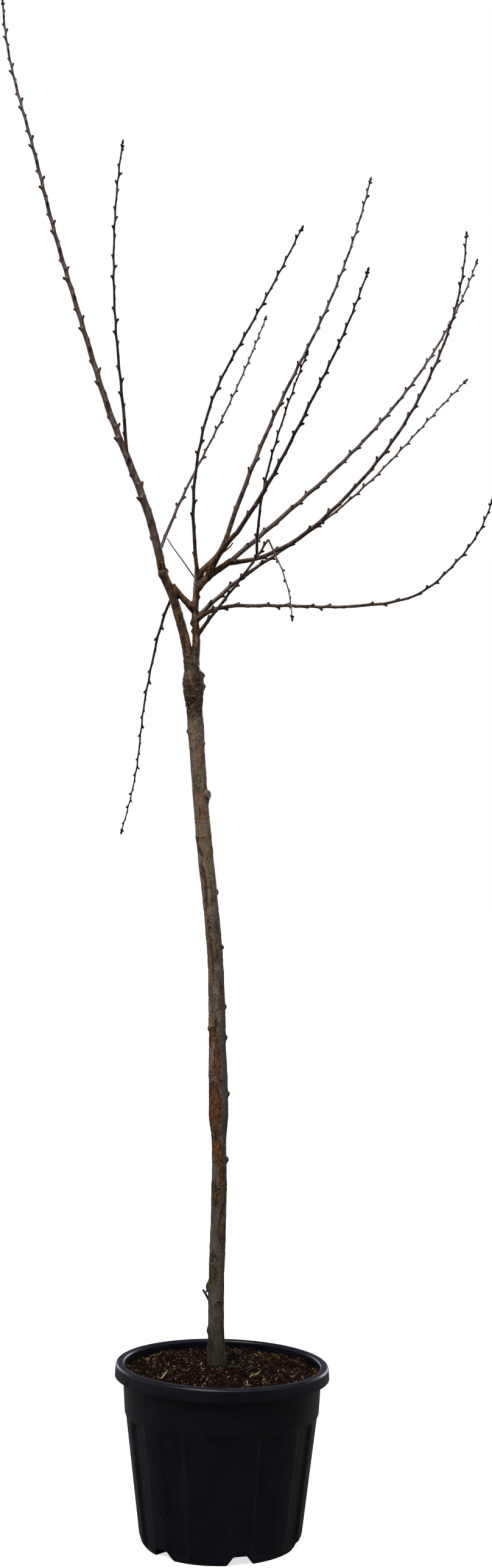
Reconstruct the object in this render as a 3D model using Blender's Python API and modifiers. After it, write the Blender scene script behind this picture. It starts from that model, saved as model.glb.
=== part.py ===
"""A bare, top-grafted standard tree in a black nursery pot.

Metres, +Z up. The origin is on the flat underside of the pot, on its axis. +X is the tree's right
and +Y its back, as it is looked at from the front.

Every limb is walked out from its carrier: it has a foot on the carrier, a length, and the rise and
the compass heading of its centre line at evenly spaced stations. The trunk and the boughs are old
wood. The crown's masses are the bare one-year shoots, each with its buds fused on.
"""

import math

import bmesh
import bpy
from mathutils import Matrix, Quaternion, Vector, geometry

MM = 0.001
GAP = 0.0003  # clearance between touching pieces

# Pot: a thin moulded tub with a skirted lip, pressed flutes and drain notches.
POT_HEIGHT = 0.236
POT_WALL = 0.0018
POT_STEPS = 72
LIP_RADIUS = 0.1423
LIP_DEPTH = 0.0175
LIP_FLARE = 0.0010
LIP_ROUND = 0.0055
ROUND_MIDDLE = 1 - math.sqrt(0.5)  # where a quarter round is halfway, as a share of its radius
BAND_TOP_RADIUS = 0.1314
BAND_FOOT_RADIUS = 0.1288
BAND_FOOT_HEIGHT = 0.173
BAND_STEP = 0.0045
LAND_TOP_RADIUS = 0.1272
LAND_FOOT_RADIUS = 0.1086
LAND_FOOT_HEIGHT = 0.015
FOOT_RADIUS = 0.1055
FOOT_CORNER_HEIGHT = 0.005
FOOT_FLAT_RADIUS = 0.1015
FLUTE_COUNT = 12
FLUTE_DEPTH = 0.0040
FLUTE_TOP = 0.164
FLUTE_HALF_WIDTH = 8.75  # degrees
FLUTE_EDGE_WIDTH = 3.75  # degrees over which a flute's side runs in
NOTCH_HEADINGS = (15, 75, 135, 195, 255, 315)  # degrees, clockwise from the front
NOTCH_FOOT_WIDTH = 0.035
NOTCH_TOP_WIDTH = 0.021
NOTCH_HEIGHT = 0.013
CHANNEL_LENGTH = 0.052  # each notch runs in under the pot as a pressed channel
MOUTH_LEAN = 0.0024  # the thin pot stands a little askew: its mouth sits to the right of its foot
MOUTH_TILT = 1.6  # degrees, right side low
LEVEL_CORE = 0.030  # the soil round the trunk stays level out to this radius

# Soil: it fills the pot and mounds gently up to the trunk.
SOIL_FOOT_FLAT = 0.022
SOIL_TOP = 0.2322
SOIL_SHOULDER = (0.070, 0.2295)
SOIL_EDGE = 0.2225

# Trunk: rise angles from soil to fork, its diameters, and the stubs and knots left on it.
TRUNK_FOOT = (-0.0046, 0.0, SOIL_TOP + GAP)
TRUNK_LENGTH = 0.935
TRUNK_RISES = (88, 92, 89, 89, 84, 86, 87)
TRUNK_HEADINGS = (180,)
TRUNK_GIRTHS = (  # height above the soil in metres, diameter in millimetres
    (0.000, 26.0),
    (0.030, 22.0),
    (0.120, 21.0),
    (0.250, 20.2),
    (0.290, 19.6),
    (0.335, 25.6),
    (0.375, 25.4),
    (0.435, 23.4),
    (0.500, 21.8),
    (0.560, 20.6),
    (0.700, 20.0),
    (0.800, 19.6),
    (0.860, 22.0),
    (0.900, 28.5),
    (0.915, 27.5),
    (0.935, 22.5),
)
# height, heading, diameter, how far it stands out of the bark
TRUNK_KNOTS = (
    (0.022, 150, 0.009, 0.003),
    (0.104, 180, 0.010, 0.005),
    (0.273, 0, 0.007, 0.003),
    (0.360, 355, 0.007, 0.002),
    (0.435, 5, 0.006, 0.002),
    (0.476, 350, 0.006, 0.002),
    (0.554, 0, 0.006, 0.002),
    (0.627, 10, 0.006, 0.002),
    (0.756, 350, 0.014, 0.007),
    (0.917, 345, 0.008, 0.005),
)

# Spacing of the cross-sections along each kind of limb.
TRUNK_STEP = 0.026
BOUGH_STEP = 0.012
STEM_STEP = 0.034

BUD_FIRST = 0.030  # no bud nearer the shoot's foot than this
BUD_SPACING_LOW = 0.019
BUD_SPACING_HIGH = 0.009
BUD_TURN = 144  # degrees round the shoot from one bud to the next
BUD_LEAN = 38  # degrees between a bud and its shoot
BUD_LENGTH = 0.0062
BUD_WIDTH = 0.0036
BUD_SIDES = 4
BUD_SMALLEST = 0.75  # the size of a bud on the thinnest wood, as a share of a full one
FULL_BUD_STEM = 0.0025  # the stem's radius that carries a full bud
BUD_CLEAR = 0.002  # a bud whose tip is nearer another limb than this is left off
EVERY_NTH_BUD = 2
TERMINAL_BUD = 0.007
TERMINAL_SWELL = 1.35  # times the stem's radius, at its widest
TERMINAL_WIDEST = 0.4  # the widest place, as a share of its length
TERMINAL_POINT = 0.3

BARK_GREY = (0.16, 0.14, 0.12, 1)
BARK_BROWN = (0.14, 0.09, 0.07, 1)
SHOOT_RED = (0.10, 0.045, 0.040, 1)
DEAD_GREY = (0.30, 0.27, 0.23, 1)
PLASTIC_BLACK = (0.012, 0.013, 0.015, 1)
PEAT_BROWN = (0.035, 0.022, 0.014, 1)


class Limb:
    """One tapering limb: where its foot is on its carrier, how it runs, and how thick it is."""

    def __init__(self, name, carrier, along, length, rises, headings, girth, kind="bough", sides=8):
        self.name = name
        self.carrier = carrier
        self.along = along
        self.length = length
        self.rises = rises
        self.headings = headings
        self.girth = girth
        self.kind = kind
        self.sides = sides


def shoot(name, carrier, along, length, rises, headings, girth):
    return Limb(name, carrier, along, length, rises, headings, girth, "shoot", 6)


def dead_twig(name, carrier, along, length, rises, headings, girth):
    return Limb(name, carrier, along, length, rises, headings, girth, "dead", 6)


# Each row: name, carrier, foot's place along the carrier, length in metres, rises in degrees above
# the level, compass headings in degrees (0 right, 90 back), diameters in millimetres.
BOUGHS = (
    Limb("left_bough", "trunk", 0.98, 0.160, (70, 82, 74, 74, 65, 85), (187,), (13.5, 12.5, 11.4)),
    Limb("centre_bough", "trunk", 0.98, 0.135, (78, 86, 94, 85, 86), (17,), (12.5, 10.8, 9.5, 4.0)),
    Limb("link_bough", "centre_bough", 0.65, 0.045, (39, 54), (189,), (8.5, 8.0)),
    Limb("right_bough", "centre_bough", 0.87, 0.060, (49, 36, 36), (12,), (9.0, 8.8, 8.6)),
    Limb("front_bough", "right_bough", 0.36, 0.075, (64, 46, 31), (319,), (7.6, 7.6, 6.4)),
    Limb("back_bough", "centre_bough", 0.96, 0.080, (66, 42, 62, 74), (14,), (6.8, 7.0, 6.4)),
)
SHOOTS = (
    shoot(
        "leader_shoot", "left_bough", 1.0, 0.810,
        (77, 67, 72, 72, 75, 73, 86), (161, 160, 150), (11.4, 6.8, 3.0),
    ),
    shoot(
        "left_inner_shoot", "leader_shoot", 0.18, 0.400,
        (79, 62, 65, 63), (253, 268, 293), (4.8, 2.4),
    ),
    shoot("left_cross_shoot", "leader_shoot", 0.01, 0.475, (57, 50, 52, 54), (61, 59, 64), (4.4, 2.2)),
    shoot(
        "front_upright_shoot", "centre_bough", 0.97, 0.485,
        (77, 63, 61, 47, 48, 51), (247, 307, 315), (5.2, 2.4),
    ),
    shoot("tall_right_shoot", "back_bough", 1.0, 0.515, (71, 67, 63, 69, 76), (8, 13), (6.4, 4.4, 2.4)),
    shoot(
        "front_right_shoot", "front_bough", 1.0, 0.415,
        (41, 43, 37, 41), (313, 299, 289), (6.2, 4.2, 2.4),
    ),
    shoot(
        "outer_right_shoot", "right_bough", 1.0, 0.655,
        (39, 40, 45, 52, 61), (29, 36, 51), (6.4, 4.6, 2.4),
    ),
    shoot(
        "wide_right_shoot", "right_bough", 0.92, 0.555,
        (1, 35, 47, 58, 68, 86), (350, 340, 306), (5.8, 4.6, 2.4),
    ),
    shoot(
        "short_right_shoot", "wide_right_shoot", 0.07, 0.310,
        (59, 49, 47, 43, 36), (270, 290, 291), (4.0, 2.2),
    ),
    shoot(
        "low_right_shoot", "centre_bough", 0.55, 0.510,
        (48, 34, 40, 47, 45), (11, 18), (6.0, 3.4, 2.0),
    ),
    shoot("level_shoot", "centre_bough", 0.54, 0.230, (37, 1, -3, -5, -1), (334, 330), (5.8, 4.0)),
    shoot("level_shoot_tip", "level_shoot", 1.0, 0.260, (0, 7, 31, 38, 59), (338, 296), (4.0, 2.2)),
    shoot("drooping_shoot", "centre_bough", 0.39, 0.175, (44, 40, 41), (322, 310), (5.0, 3.0)),
    shoot("drooping_shoot_tip", "drooping_shoot", 1.0, 0.115, (-62, -62, -76), (330, 283), (2.4, 1.8)),
    shoot(
        "hanging_shoot", "left_bough", 0.68, 0.380,
        (-47, -59, -49, -60, -53, -56), (128, 103, 118), (3.8, 1.9),
    ),
    dead_twig("dead_twig", "centre_bough", 0.93, 0.090, (43, 48), (127, 137), (2.0, 1.4)),
    dead_twig("dead_spur", "front_bough", 0.47, 0.025, (22, 56), (25,), (2.6, 1.6)),
)


def clear_scene():
    for item in list(bpy.data.objects):
        bpy.data.objects.remove(item)


def material(name, colour, roughness, metallic=0.0):
    made = bpy.data.materials.new(name)
    made.use_nodes = True
    shader = made.node_tree.nodes["Principled BSDF"]
    shader.inputs["Base Color"].default_value = colour
    shader.inputs["Roughness"].default_value = roughness
    shader.inputs["Metallic"].default_value = metallic
    made.diffuse_color = colour
    return made


def smooth_value(values, fraction):
    """A Catmull-Rom curve through evenly spaced values, read at a fraction of its length."""
    last = len(values) - 1
    if last == 0:
        return values[0]
    place = min(max(fraction * last, 0), last)
    index = min(int(place), last - 1)
    t = place - index
    before = values[index - 1] if index > 0 else 2 * values[0] - values[1]
    here, there = values[index], values[index + 1]
    after = values[index + 2] if index + 2 <= last else 2 * values[last] - values[last - 1]
    square = (2 * before - 5 * here + 4 * there - after) * t * t
    cube = (3 * here - before - 3 * there + after) * t * t * t
    return 0.5 * (2 * here + (there - before) * t + square + cube)


def uneven_value(pairs, place):
    """Eased interpolation in a list of (place, value) pairs."""
    for (start, low), (end, high) in zip(pairs, pairs[1:]):
        if place <= end:
            t = max(0.0, (place - start) / (end - start))
            return low + (high - low) * t * t * (3 - 2 * t)
    return pairs[-1][1]


def walk(foot, length, rises, headings, steps):
    """The centre line: it starts at the foot and takes equal steps along the rise and heading."""
    points = [Vector(foot)]
    for step in range(steps):
        middle = (step + 0.5) / steps
        rise = math.radians(smooth_value(rises, middle))
        heading = math.radians(smooth_value(headings, middle))
        level = math.cos(rise)
        way = Vector((level * math.cos(heading), level * math.sin(heading), math.sin(rise)))
        points.append(points[-1] + way * length / steps)
    return points


class Line:
    """A limb's centre line with its radius at each point."""

    def __init__(self, name, points, radii, kind, sides):
        self.name = name
        self.points = points
        self.radii = radii
        self.kind = kind
        self.sides = sides

    def at(self, fraction):
        place = min(max(fraction, 0), 1) * (len(self.points) - 1)
        index = min(int(place), len(self.points) - 2)
        return self.points[index].lerp(self.points[index + 1], place - index)

    def radius_at(self, fraction):
        place = min(max(fraction, 0), 1) * (len(self.radii) - 1)
        index = min(int(place), len(self.radii) - 2)
        return self.radii[index] + (self.radii[index + 1] - self.radii[index]) * (place - index)

    def way_at(self, fraction):
        return (self.at(fraction + 0.02) - self.at(fraction - 0.02)).normalized()

    def clearance(self, spot):
        """How far a point is from this limb's surface, negative inside."""
        nearest = math.inf
        for index in range(len(self.points) - 1):
            start, end = self.points[index], self.points[index + 1]
            on_line, share = geometry.intersect_point_line(spot, start, end)
            share = min(max(share, 0), 1)
            radius = self.radii[index] + (self.radii[index + 1] - self.radii[index]) * share
            nearest = min(nearest, (spot - start.lerp(end, share)).length - radius)
        return nearest


def trunk_line():
    steps = round(TRUNK_LENGTH / TRUNK_STEP)
    points = walk(TRUNK_FOOT, TRUNK_LENGTH, TRUNK_RISES, TRUNK_HEADINGS, steps)
    radii = [uneven_value(TRUNK_GIRTHS, TRUNK_LENGTH * i / steps) * MM / 2 for i in range(steps + 1)]
    return Line("trunk", points, radii, "bough", 12)


def limb_line(limb, lines):
    step = STEM_STEP if limb.kind == "shoot" else BOUGH_STEP
    steps = max(3, round(limb.length / step))
    foot = lines[limb.carrier].at(limb.along)
    if limb.along == 1.0:
        foot = foot + lines[limb.carrier].way_at(1.0) * GAP
    points = walk(foot, limb.length, limb.rises, limb.headings, steps)
    radii = [smooth_value(limb.girth, i / steps) * MM / 2 for i in range(steps + 1)]
    return Line(limb.name, points, radii, limb.kind, limb.sides)


def all_lines():
    lines = {"trunk": trunk_line()}
    for limb in BOUGHS + SHOOTS:
        lines[limb.name] = limb_line(limb, lines)
    return lines


def mesh_object(name, mesh, parts):
    made = bpy.data.objects.new(name, mesh)
    parts.objects.link(made)
    return made


def evaluated_mesh(item):
    bpy.context.view_layer.update()
    graph = bpy.context.evaluated_depsgraph_get()
    return bpy.data.meshes.new_from_object(item.evaluated_get(graph))


def tube(name, points, radii, sides, parts):
    """A round tapering tube: a bevelled curve with filled caps, made a mesh with welded caps."""
    curve = bpy.data.curves.new(name, "CURVE")
    curve.dimensions = "3D"
    curve.bevel_depth = MM
    curve.bevel_resolution = (sides - 4) // 2
    curve.use_fill_caps = True
    spline = curve.splines.new("POLY")
    spline.points.add(len(points) - 1)
    for control, point, radius in zip(spline.points, points, radii):
        control.co = (*point, 1)
        control.radius = radius / MM
    guide = bpy.data.objects.new(name, curve)
    parts.objects.link(guide)
    mesh = evaluated_mesh(guide)
    matrix = guide.matrix_world.copy()
    bpy.data.objects.remove(guide)
    shell = bmesh.new()
    shell.from_mesh(mesh)
    bmesh.ops.remove_doubles(shell, verts=shell.verts, dist=0.00001)
    bmesh.ops.recalc_face_normals(shell, faces=shell.faces)
    shell.to_mesh(mesh)
    shell.free()
    made = mesh_object(name, mesh, parts)
    made.matrix_world = matrix
    return made


def replace_mesh(item):
    """Applies the object's modifiers."""
    mesh = evaluated_mesh(item)
    item.modifiers.clear()
    item.data = mesh


def combine(item, others, operation):
    """One Boolean with a collection of helpers, applied, with the helpers then removed."""
    pile = bpy.data.collections.new(item.name + "_pile")
    bpy.context.scene.collection.children.link(pile)
    for other in others:
        for home in list(other.users_collection):
            home.objects.unlink(other)
        pile.objects.link(other)
    modifier = item.modifiers.new(operation.title(), "BOOLEAN")
    modifier.operand_type = "COLLECTION"
    modifier.collection = pile
    modifier.operation = operation
    replace_mesh(item)
    for other in others:
        bpy.data.objects.remove(other)
    bpy.data.collections.remove(pile)


def keep_largest(item):
    """Drops the loose scraps that a cut can leave."""
    shell = bmesh.new()
    shell.from_mesh(item.data)
    left = set(shell.verts)
    groups = []
    while left:
        seed = left.pop()
        group, edge = {seed}, [seed]
        while edge:
            for link in edge.pop().link_edges:
                for vertex in link.verts:
                    if vertex in left:
                        left.remove(vertex)
                        group.add(vertex)
                        edge.append(vertex)
        groups.append(group)
    groups.sort(key=len, reverse=True)
    for group in groups[1:]:
        bmesh.ops.delete(shell, geom=list(group), context="VERTS")
    shell.to_mesh(item.data)
    shell.free()


def grown_copy(line, parts):
    """The limb's tube, thicker and longer by the clearance, that its neighbours are cut with."""
    margin = GAP / math.cos(math.pi / line.sides)
    points = list(line.points)
    points[0] = points[0] + (points[0] - points[1]).normalized() * margin
    points[-1] = points[-1] + (points[-1] - points[-2]).normalized() * margin
    return tube(line.name + "_grown", points, [radius + margin for radius in line.radii], line.sides, parts)


def meets(line, other):
    return min(other.clearance(point) - radius for point, radius in zip(line.points, line.radii)) < 2 * GAP


def dome(centre, way, width, height, parts):
    """A low rounded lump that stands out of the bark along one way."""
    shell = bmesh.new()
    bmesh.ops.create_uvsphere(shell, u_segments=8, v_segments=5, radius=1.0)
    bmesh.ops.scale(shell, vec=(width / 2, width / 2, height), verts=shell.verts)
    turn = way.to_track_quat("Z", "Y")
    bmesh.ops.rotate(shell, verts=shell.verts, cent=(0, 0, 0), matrix=turn.to_matrix())
    bmesh.ops.translate(shell, vec=centre, verts=shell.verts)
    mesh = bpy.data.meshes.new("lump")
    shell.to_mesh(mesh)
    shell.free()
    return mesh_object("lump", mesh, parts)


def side_way(line, fraction, degrees):
    """The way that points out of the limb's side on one compass heading."""
    along = line.way_at(fraction)
    level = Vector((math.cos(math.radians(degrees)), math.sin(math.radians(degrees)), 0))
    return (level - along * level.dot(along)).normalized()


def cut_flat(item, height, slack):
    """Levels the ring of points at the foot into one flat cut."""
    for vertex in item.data.vertices:
        if vertex.co.z < height + slack:
            vertex.co.z = height


def trunk_knots(line, parts):
    knots = []
    for height, heading, width, stands in TRUNK_KNOTS:
        fraction = height / TRUNK_LENGTH
        way = side_way(line, fraction, heading)
        bark = line.radius_at(fraction)
        sunk = min(width / 2, bark / 2)
        centre = line.at(fraction) + way * (bark - sunk)
        knots.append(dome(centre, way, width, stands + sunk, parts))
    return knots


def bud_places(line, length):
    """(fraction, turn) of every bud, closer together toward the tip."""
    places = []
    along = BUD_FIRST
    turn = 90.0
    while along < length - TERMINAL_BUD:
        share = along / length
        places.append((share, turn))
        spacing = BUD_SPACING_LOW + (BUD_SPACING_HIGH - BUD_SPACING_LOW) * share
        along += spacing
        turn += BUD_TURN
    return places


def bud(line, share, turn, parts):
    """A pointed bud: its root is sunk in the stem, and it leans out and up the shoot."""
    stem = line.way_at(share)
    across = stem.orthogonal().normalized()
    across.rotate(Quaternion(stem, math.radians(turn)))
    lean = math.radians(BUD_LEAN)
    way = (stem * math.cos(lean) + across * math.sin(lean)).normalized()
    root = line.at(share)
    bark = line.radius_at(share)
    size = BUD_SMALLEST + (1 - BUD_SMALLEST) * bark / FULL_BUD_STEM
    reach = BUD_LENGTH * size + bark
    shell = bmesh.new()
    bmesh.ops.create_cone(
        shell,
        cap_ends=True,
        segments=BUD_SIDES,
        radius1=BUD_WIDTH / 2 * size,
        radius2=0,
        depth=reach,
    )
    turned = way.to_track_quat("Z", "Y").to_matrix()
    bmesh.ops.translate(shell, vec=(0, 0, reach / 2), verts=shell.verts)
    bmesh.ops.rotate(shell, verts=shell.verts, cent=(0, 0, 0), matrix=turned)
    bmesh.ops.translate(shell, vec=root, verts=shell.verts)
    mesh = bpy.data.meshes.new("bud")
    shell.to_mesh(mesh)
    shell.free()
    return mesh_object("bud", mesh, parts), root + way * reach


def pointed(line):
    """The shoot's stem ends in a pointed terminal bud."""
    end = line.points[-1]
    bud_way = (end - line.points[-2]).normalized() * TERMINAL_BUD
    stem = line.radii[-1]
    points = line.points + [end + bud_way * TERMINAL_WIDEST, end + bud_way]
    return points, line.radii + [stem * TERMINAL_SWELL, stem * TERMINAL_POINT]


def ends_free(name):
    return not any(limb.carrier == name and limb.along == 1.0 for limb in BOUGHS + SHOOTS)


def limb_solid(line, length, lines, done, parts):
    """A limb with its buds, cut clear of every limb that was made before it."""
    points, radii = line.points, line.radii
    if line.kind == "shoot" and ends_free(line.name):
        points, radii = pointed(line)
    made = tube(line.name, points, radii, line.sides, parts)
    if line.kind == "shoot":
        buds = []
        for share, turn in bud_places(line, length)[::EVERY_NTH_BUD]:
            lump, tip = bud(line, share, turn, parts)
            others = [other for name, other in lines.items() if name != line.name]
            if min(other.clearance(tip) for other in others) < BUD_CLEAR:
                bpy.data.objects.remove(lump)
            else:
                buds.append(lump)
        combine(made, buds, "UNION")
    cutters = [grown_copy(lines[name], parts) for name in done if meets(line, lines[name])]
    if cutters:
        combine(made, cutters, "DIFFERENCE")
    keep_largest(made)
    return made


def screw(name, profile, parts):
    """A turned shape from a profile of (radius, height) points."""
    mesh = bpy.data.meshes.new(name)
    points = [(radius, 0, height) for radius, height in profile]
    mesh.from_pydata(points, [(i, i + 1) for i in range(len(points) - 1)], [])
    made = mesh_object(name, mesh, parts)
    modifier = made.modifiers.new("Turn", "SCREW")
    modifier.steps = POT_STEPS
    modifier.render_steps = POT_STEPS
    modifier.use_merge_vertices = True
    modifier.merge_threshold = 0.0001
    replace_mesh(made)
    return made


def flute_pressing(heading, height):
    """How deep the wall is pressed in, 0 to 1, at a heading from the front and a height."""
    period = 360 / FLUTE_COUNT
    from_middle = abs((heading + period / 2) % period - period / 2)
    across = min(max((FLUTE_HALF_WIDTH - from_middle) / FLUTE_EDGE_WIDTH, 0), 1)
    upward = min(max((BAND_FOOT_HEIGHT - height) / (BAND_FOOT_HEIGHT - FLUTE_TOP), 0), 1)
    foot = min(max(height / LAND_FOOT_HEIGHT, 0), 1)
    return across * upward * foot


def press_flutes(item):
    """Presses the flutes, then splits each wall quad along its short diagonal, on pot and soil alike."""
    for vertex in item.data.vertices:
        x, y, z = vertex.co
        radius = math.hypot(x, y)
        if radius < LAND_FOOT_RADIUS * 0.9 or z > BAND_FOOT_HEIGHT:
            continue
        heading = math.degrees(math.atan2(x, -y))
        shrink = 1 - FLUTE_DEPTH * flute_pressing(heading, z) / radius
        vertex.co = (x * shrink, y * shrink, z)
    shell = bmesh.new()
    shell.from_mesh(item.data)
    bmesh.ops.triangulate(shell, faces=shell.faces, quad_method="SHORT_EDGE")
    shell.to_mesh(item.data)
    shell.free()


def wall_profile(inset):
    """(radius, height) down the pot's wall from its band to its floor, moved in by an inset."""
    return [
        (BAND_FOOT_RADIUS - inset, BAND_FOOT_HEIGHT),
        (LAND_TOP_RADIUS - inset, BAND_FOOT_HEIGHT - BAND_STEP),
        (LAND_TOP_RADIUS - inset - 2 * GAP, FLUTE_TOP),
        (LAND_FOOT_RADIUS - inset, LAND_FOOT_HEIGHT),
        (FOOT_RADIUS - inset * 1.2, FOOT_CORNER_HEIGHT + inset * 0.4),
        (FOOT_FLAT_RADIUS - inset, inset),
    ]


def channel(heading, spread, start, foot, parts):
    """One drain channel under the pot, wide at the ground, or with a spread the wall over it."""
    shell = bmesh.new()
    bmesh.ops.create_cube(shell, size=1.0)
    for vertex in shell.verts:
        height = NOTCH_HEIGHT + spread if vertex.co.z > 0 else foot
        narrowing = (NOTCH_FOOT_WIDTH - NOTCH_TOP_WIDTH) * height / NOTCH_HEIGHT
        reach = start if vertex.co.y < 0 else FOOT_RADIUS - CHANNEL_LENGTH - spread
        vertex.co = (vertex.co.x * (NOTCH_FOOT_WIDTH - narrowing + 2 * spread), -reach, height)
    bmesh.ops.rotate(
        shell,
        verts=shell.verts,
        cent=(0, 0, 0),
        matrix=Matrix.Rotation(math.radians(heading), 3, "Z"),
    )
    mesh = bpy.data.meshes.new("channel")
    shell.to_mesh(mesh)
    shell.free()
    return mesh_object("channel", mesh, parts)


def channels(spread, start, foot, parts):
    return [channel(heading, spread, start, foot, parts) for heading in NOTCH_HEADINGS]


def set_askew(item):
    """Leans and tilts the mouth on the level foot, and leaves the middle of the soil level."""
    for vertex in item.data.vertices:
        x, y, z = vertex.co
        share = z / POT_HEIGHT
        outward = min(max((math.hypot(x, y) / LEVEL_CORE - 1) / 3, 0), 1)
        drop = x * math.tan(math.radians(MOUTH_TILT)) * share * share * outward
        vertex.co = (x + MOUTH_LEAN * share, y, z - drop)


def make_pot(parts):
    top = POT_HEIGHT
    lip_foot = POT_HEIGHT - LIP_DEPTH
    skirt = LIP_RADIUS - LIP_FLARE
    profile = [(0, POT_WALL)]
    profile += reversed(wall_profile(POT_WALL))
    profile += [
        (BAND_TOP_RADIUS - POT_WALL, lip_foot),
        (BAND_TOP_RADIUS - POT_WALL, top - LIP_ROUND),
        (BAND_TOP_RADIUS + POT_WALL / 2, top),
        (skirt - LIP_ROUND, top),
        (skirt - LIP_ROUND * ROUND_MIDDLE, top - LIP_ROUND * ROUND_MIDDLE),
        (skirt, top - LIP_ROUND),
        (LIP_RADIUS, lip_foot),
        (LIP_RADIUS - POT_WALL, lip_foot),
        (skirt - POT_WALL, top - LIP_ROUND),
        (skirt - LIP_ROUND, top - POT_WALL),
        (BAND_TOP_RADIUS + POT_WALL / 2, top - POT_WALL),
        (BAND_TOP_RADIUS, top - LIP_ROUND),
        (BAND_TOP_RADIUS, lip_foot),
    ]
    profile += wall_profile(0)
    profile += [(0, 0)]
    pot = screw("pot", profile, parts)
    press_flutes(pot)
    roof_start = FOOT_RADIUS - 2 * POT_WALL - FLUTE_DEPTH / 2
    beyond = FOOT_RADIUS + 0.020
    combine(pot, channels(POT_WALL, roof_start, POT_WALL / 2, parts), "UNION")
    combine(pot, channels(0, beyond, -0.002, parts), "DIFFERENCE")
    set_askew(pot)
    pot.data.materials.clear()
    pot.data.materials.append(material("black_plastic", PLASTIC_BLACK, 0.42))
    return pot


def make_soil(parts):
    inset = POT_WALL + GAP
    profile = [(0, SOIL_TOP), (SOIL_FOOT_FLAT, SOIL_TOP), SOIL_SHOULDER]
    profile += [(BAND_TOP_RADIUS - inset, SOIL_EDGE)]
    profile += wall_profile(inset)
    profile += [(0, inset)]
    soil = screw("potting_soil", profile, parts)
    press_flutes(soil)
    combine(soil, channels(inset, FOOT_RADIUS + 0.020, -0.002, parts), "DIFFERENCE")
    set_askew(soil)
    soil.data.materials.append(material("peat", PEAT_BROWN, 0.95))
    return soil


def shade_round(item, angle):
    item.data.shade_smooth()
    item.data.set_sharp_from_angle(angle=math.radians(angle))


def main():
    clear_scene()
    parts = bpy.data.collections.new("potted_standard_tree")
    bpy.context.scene.collection.children.link(parts)
    looks = {
        "bough": material("old_bark", BARK_BROWN, 0.8),
        "shoot": material("shoot_bark", SHOOT_RED, 0.6),
        "dead": material("dead_wood", DEAD_GREY, 0.9),
    }
    shade_round(make_pot(parts), 35)
    shade_round(make_soil(parts), 35)

    lines = all_lines()
    trunk = tube("trunk", lines["trunk"].points, lines["trunk"].radii, lines["trunk"].sides, parts)
    cut_flat(trunk, TRUNK_FOOT[2], 0.002)
    combine(trunk, trunk_knots(lines["trunk"], parts), "UNION")
    trunk.data.materials.append(material("trunk_bark", BARK_GREY, 0.85))
    shade_round(trunk, 50)
    done = ["trunk"]
    for limb in BOUGHS + SHOOTS:
        made = limb_solid(lines[limb.name], limb.length, lines, done, parts)
        made.data.materials.clear()
        made.data.materials.append(looks[limb.kind])
        shade_round(made, 50)
        done.append(limb.name)


main()
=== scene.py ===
"""The looks of a bare, top-grafted standard tree in a black nursery pot.

Metres, +Z up. The origin is under the middle of the pot's flat foot, +X is the tree's right and +Y
its back. Headings are degrees from +X towards +Y, so 270 faces the front. The limbs are walked out
from their carriers by the same rule as the solids, at a finer step and with every bud.
"""

import math
import random

import bmesh
import bpy
import numpy as np
from mathutils import Matrix, Quaternion, Vector, kdtree, noise


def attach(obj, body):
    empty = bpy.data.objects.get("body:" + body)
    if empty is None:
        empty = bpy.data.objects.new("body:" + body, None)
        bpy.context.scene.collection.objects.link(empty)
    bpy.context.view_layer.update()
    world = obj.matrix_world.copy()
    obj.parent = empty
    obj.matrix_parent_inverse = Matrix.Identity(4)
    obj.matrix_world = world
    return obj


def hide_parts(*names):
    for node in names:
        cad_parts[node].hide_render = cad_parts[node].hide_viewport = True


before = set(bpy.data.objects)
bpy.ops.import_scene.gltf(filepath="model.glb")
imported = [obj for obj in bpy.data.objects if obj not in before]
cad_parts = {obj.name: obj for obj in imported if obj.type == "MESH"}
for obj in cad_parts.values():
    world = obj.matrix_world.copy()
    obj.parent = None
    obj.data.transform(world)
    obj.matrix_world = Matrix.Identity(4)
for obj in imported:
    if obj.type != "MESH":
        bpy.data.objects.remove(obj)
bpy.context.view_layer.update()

bl_info = {
    "name": "Potted standard tree",
    "version": (1, 0, 0),
    "blender": (4, 5, 0),
    "location": "View3D > Sidebar > Tree",
    "description": "Builds the bark, shoots, buds, pot and peat of a young standard tree",
    "category": "Add Mesh",
}

MM = 0.001
TURN = 2 * math.pi
BODY = "root"

# Pot, as the solid has it.
POT_HEIGHT = 0.236
POT_WALL = 0.0018
LIP_RADIUS = 0.1423
LIP_DEPTH = 0.0175
LIP_FLARE = 0.0010
LIP_ROUND = 0.0042
LIP_EDGE = 0.0007
MOUTH_ROUND = 0.0035
BAND_TOP_RADIUS = 0.1314
BAND_FOOT_RADIUS = 0.1288
BAND_FOOT_HEIGHT = 0.173
BAND_STEP = 0.0045
LAND_TOP_RADIUS = 0.1272
LAND_FOOT_RADIUS = 0.1086
LAND_FOOT_HEIGHT = 0.015
FOOT_RADIUS = 0.1055
FOOT_CORNER_HEIGHT = 0.005
FOOT_FLAT_RADIUS = 0.1015
FLUTE_COUNT = 12
FLUTE_DEPTH = 0.0040
FLUTE_TOP = 0.164
FLUTE_HALF_WIDTH = 8.75
FLUTE_EDGE_WIDTH = 3.75
NOTCH_HEADINGS = (15, 75, 135, 195, 255, 315)
NOTCH_FOOT_WIDTH = 0.035
NOTCH_TOP_WIDTH = 0.021
NOTCH_HEIGHT = 0.013
CHANNEL_LENGTH = 0.052
CHANNEL_ROUND = 0.0028
MOUTH_LEAN = 0.0024
MOUTH_TILT = 1.6
LEVEL_CORE = 0.030

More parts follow.
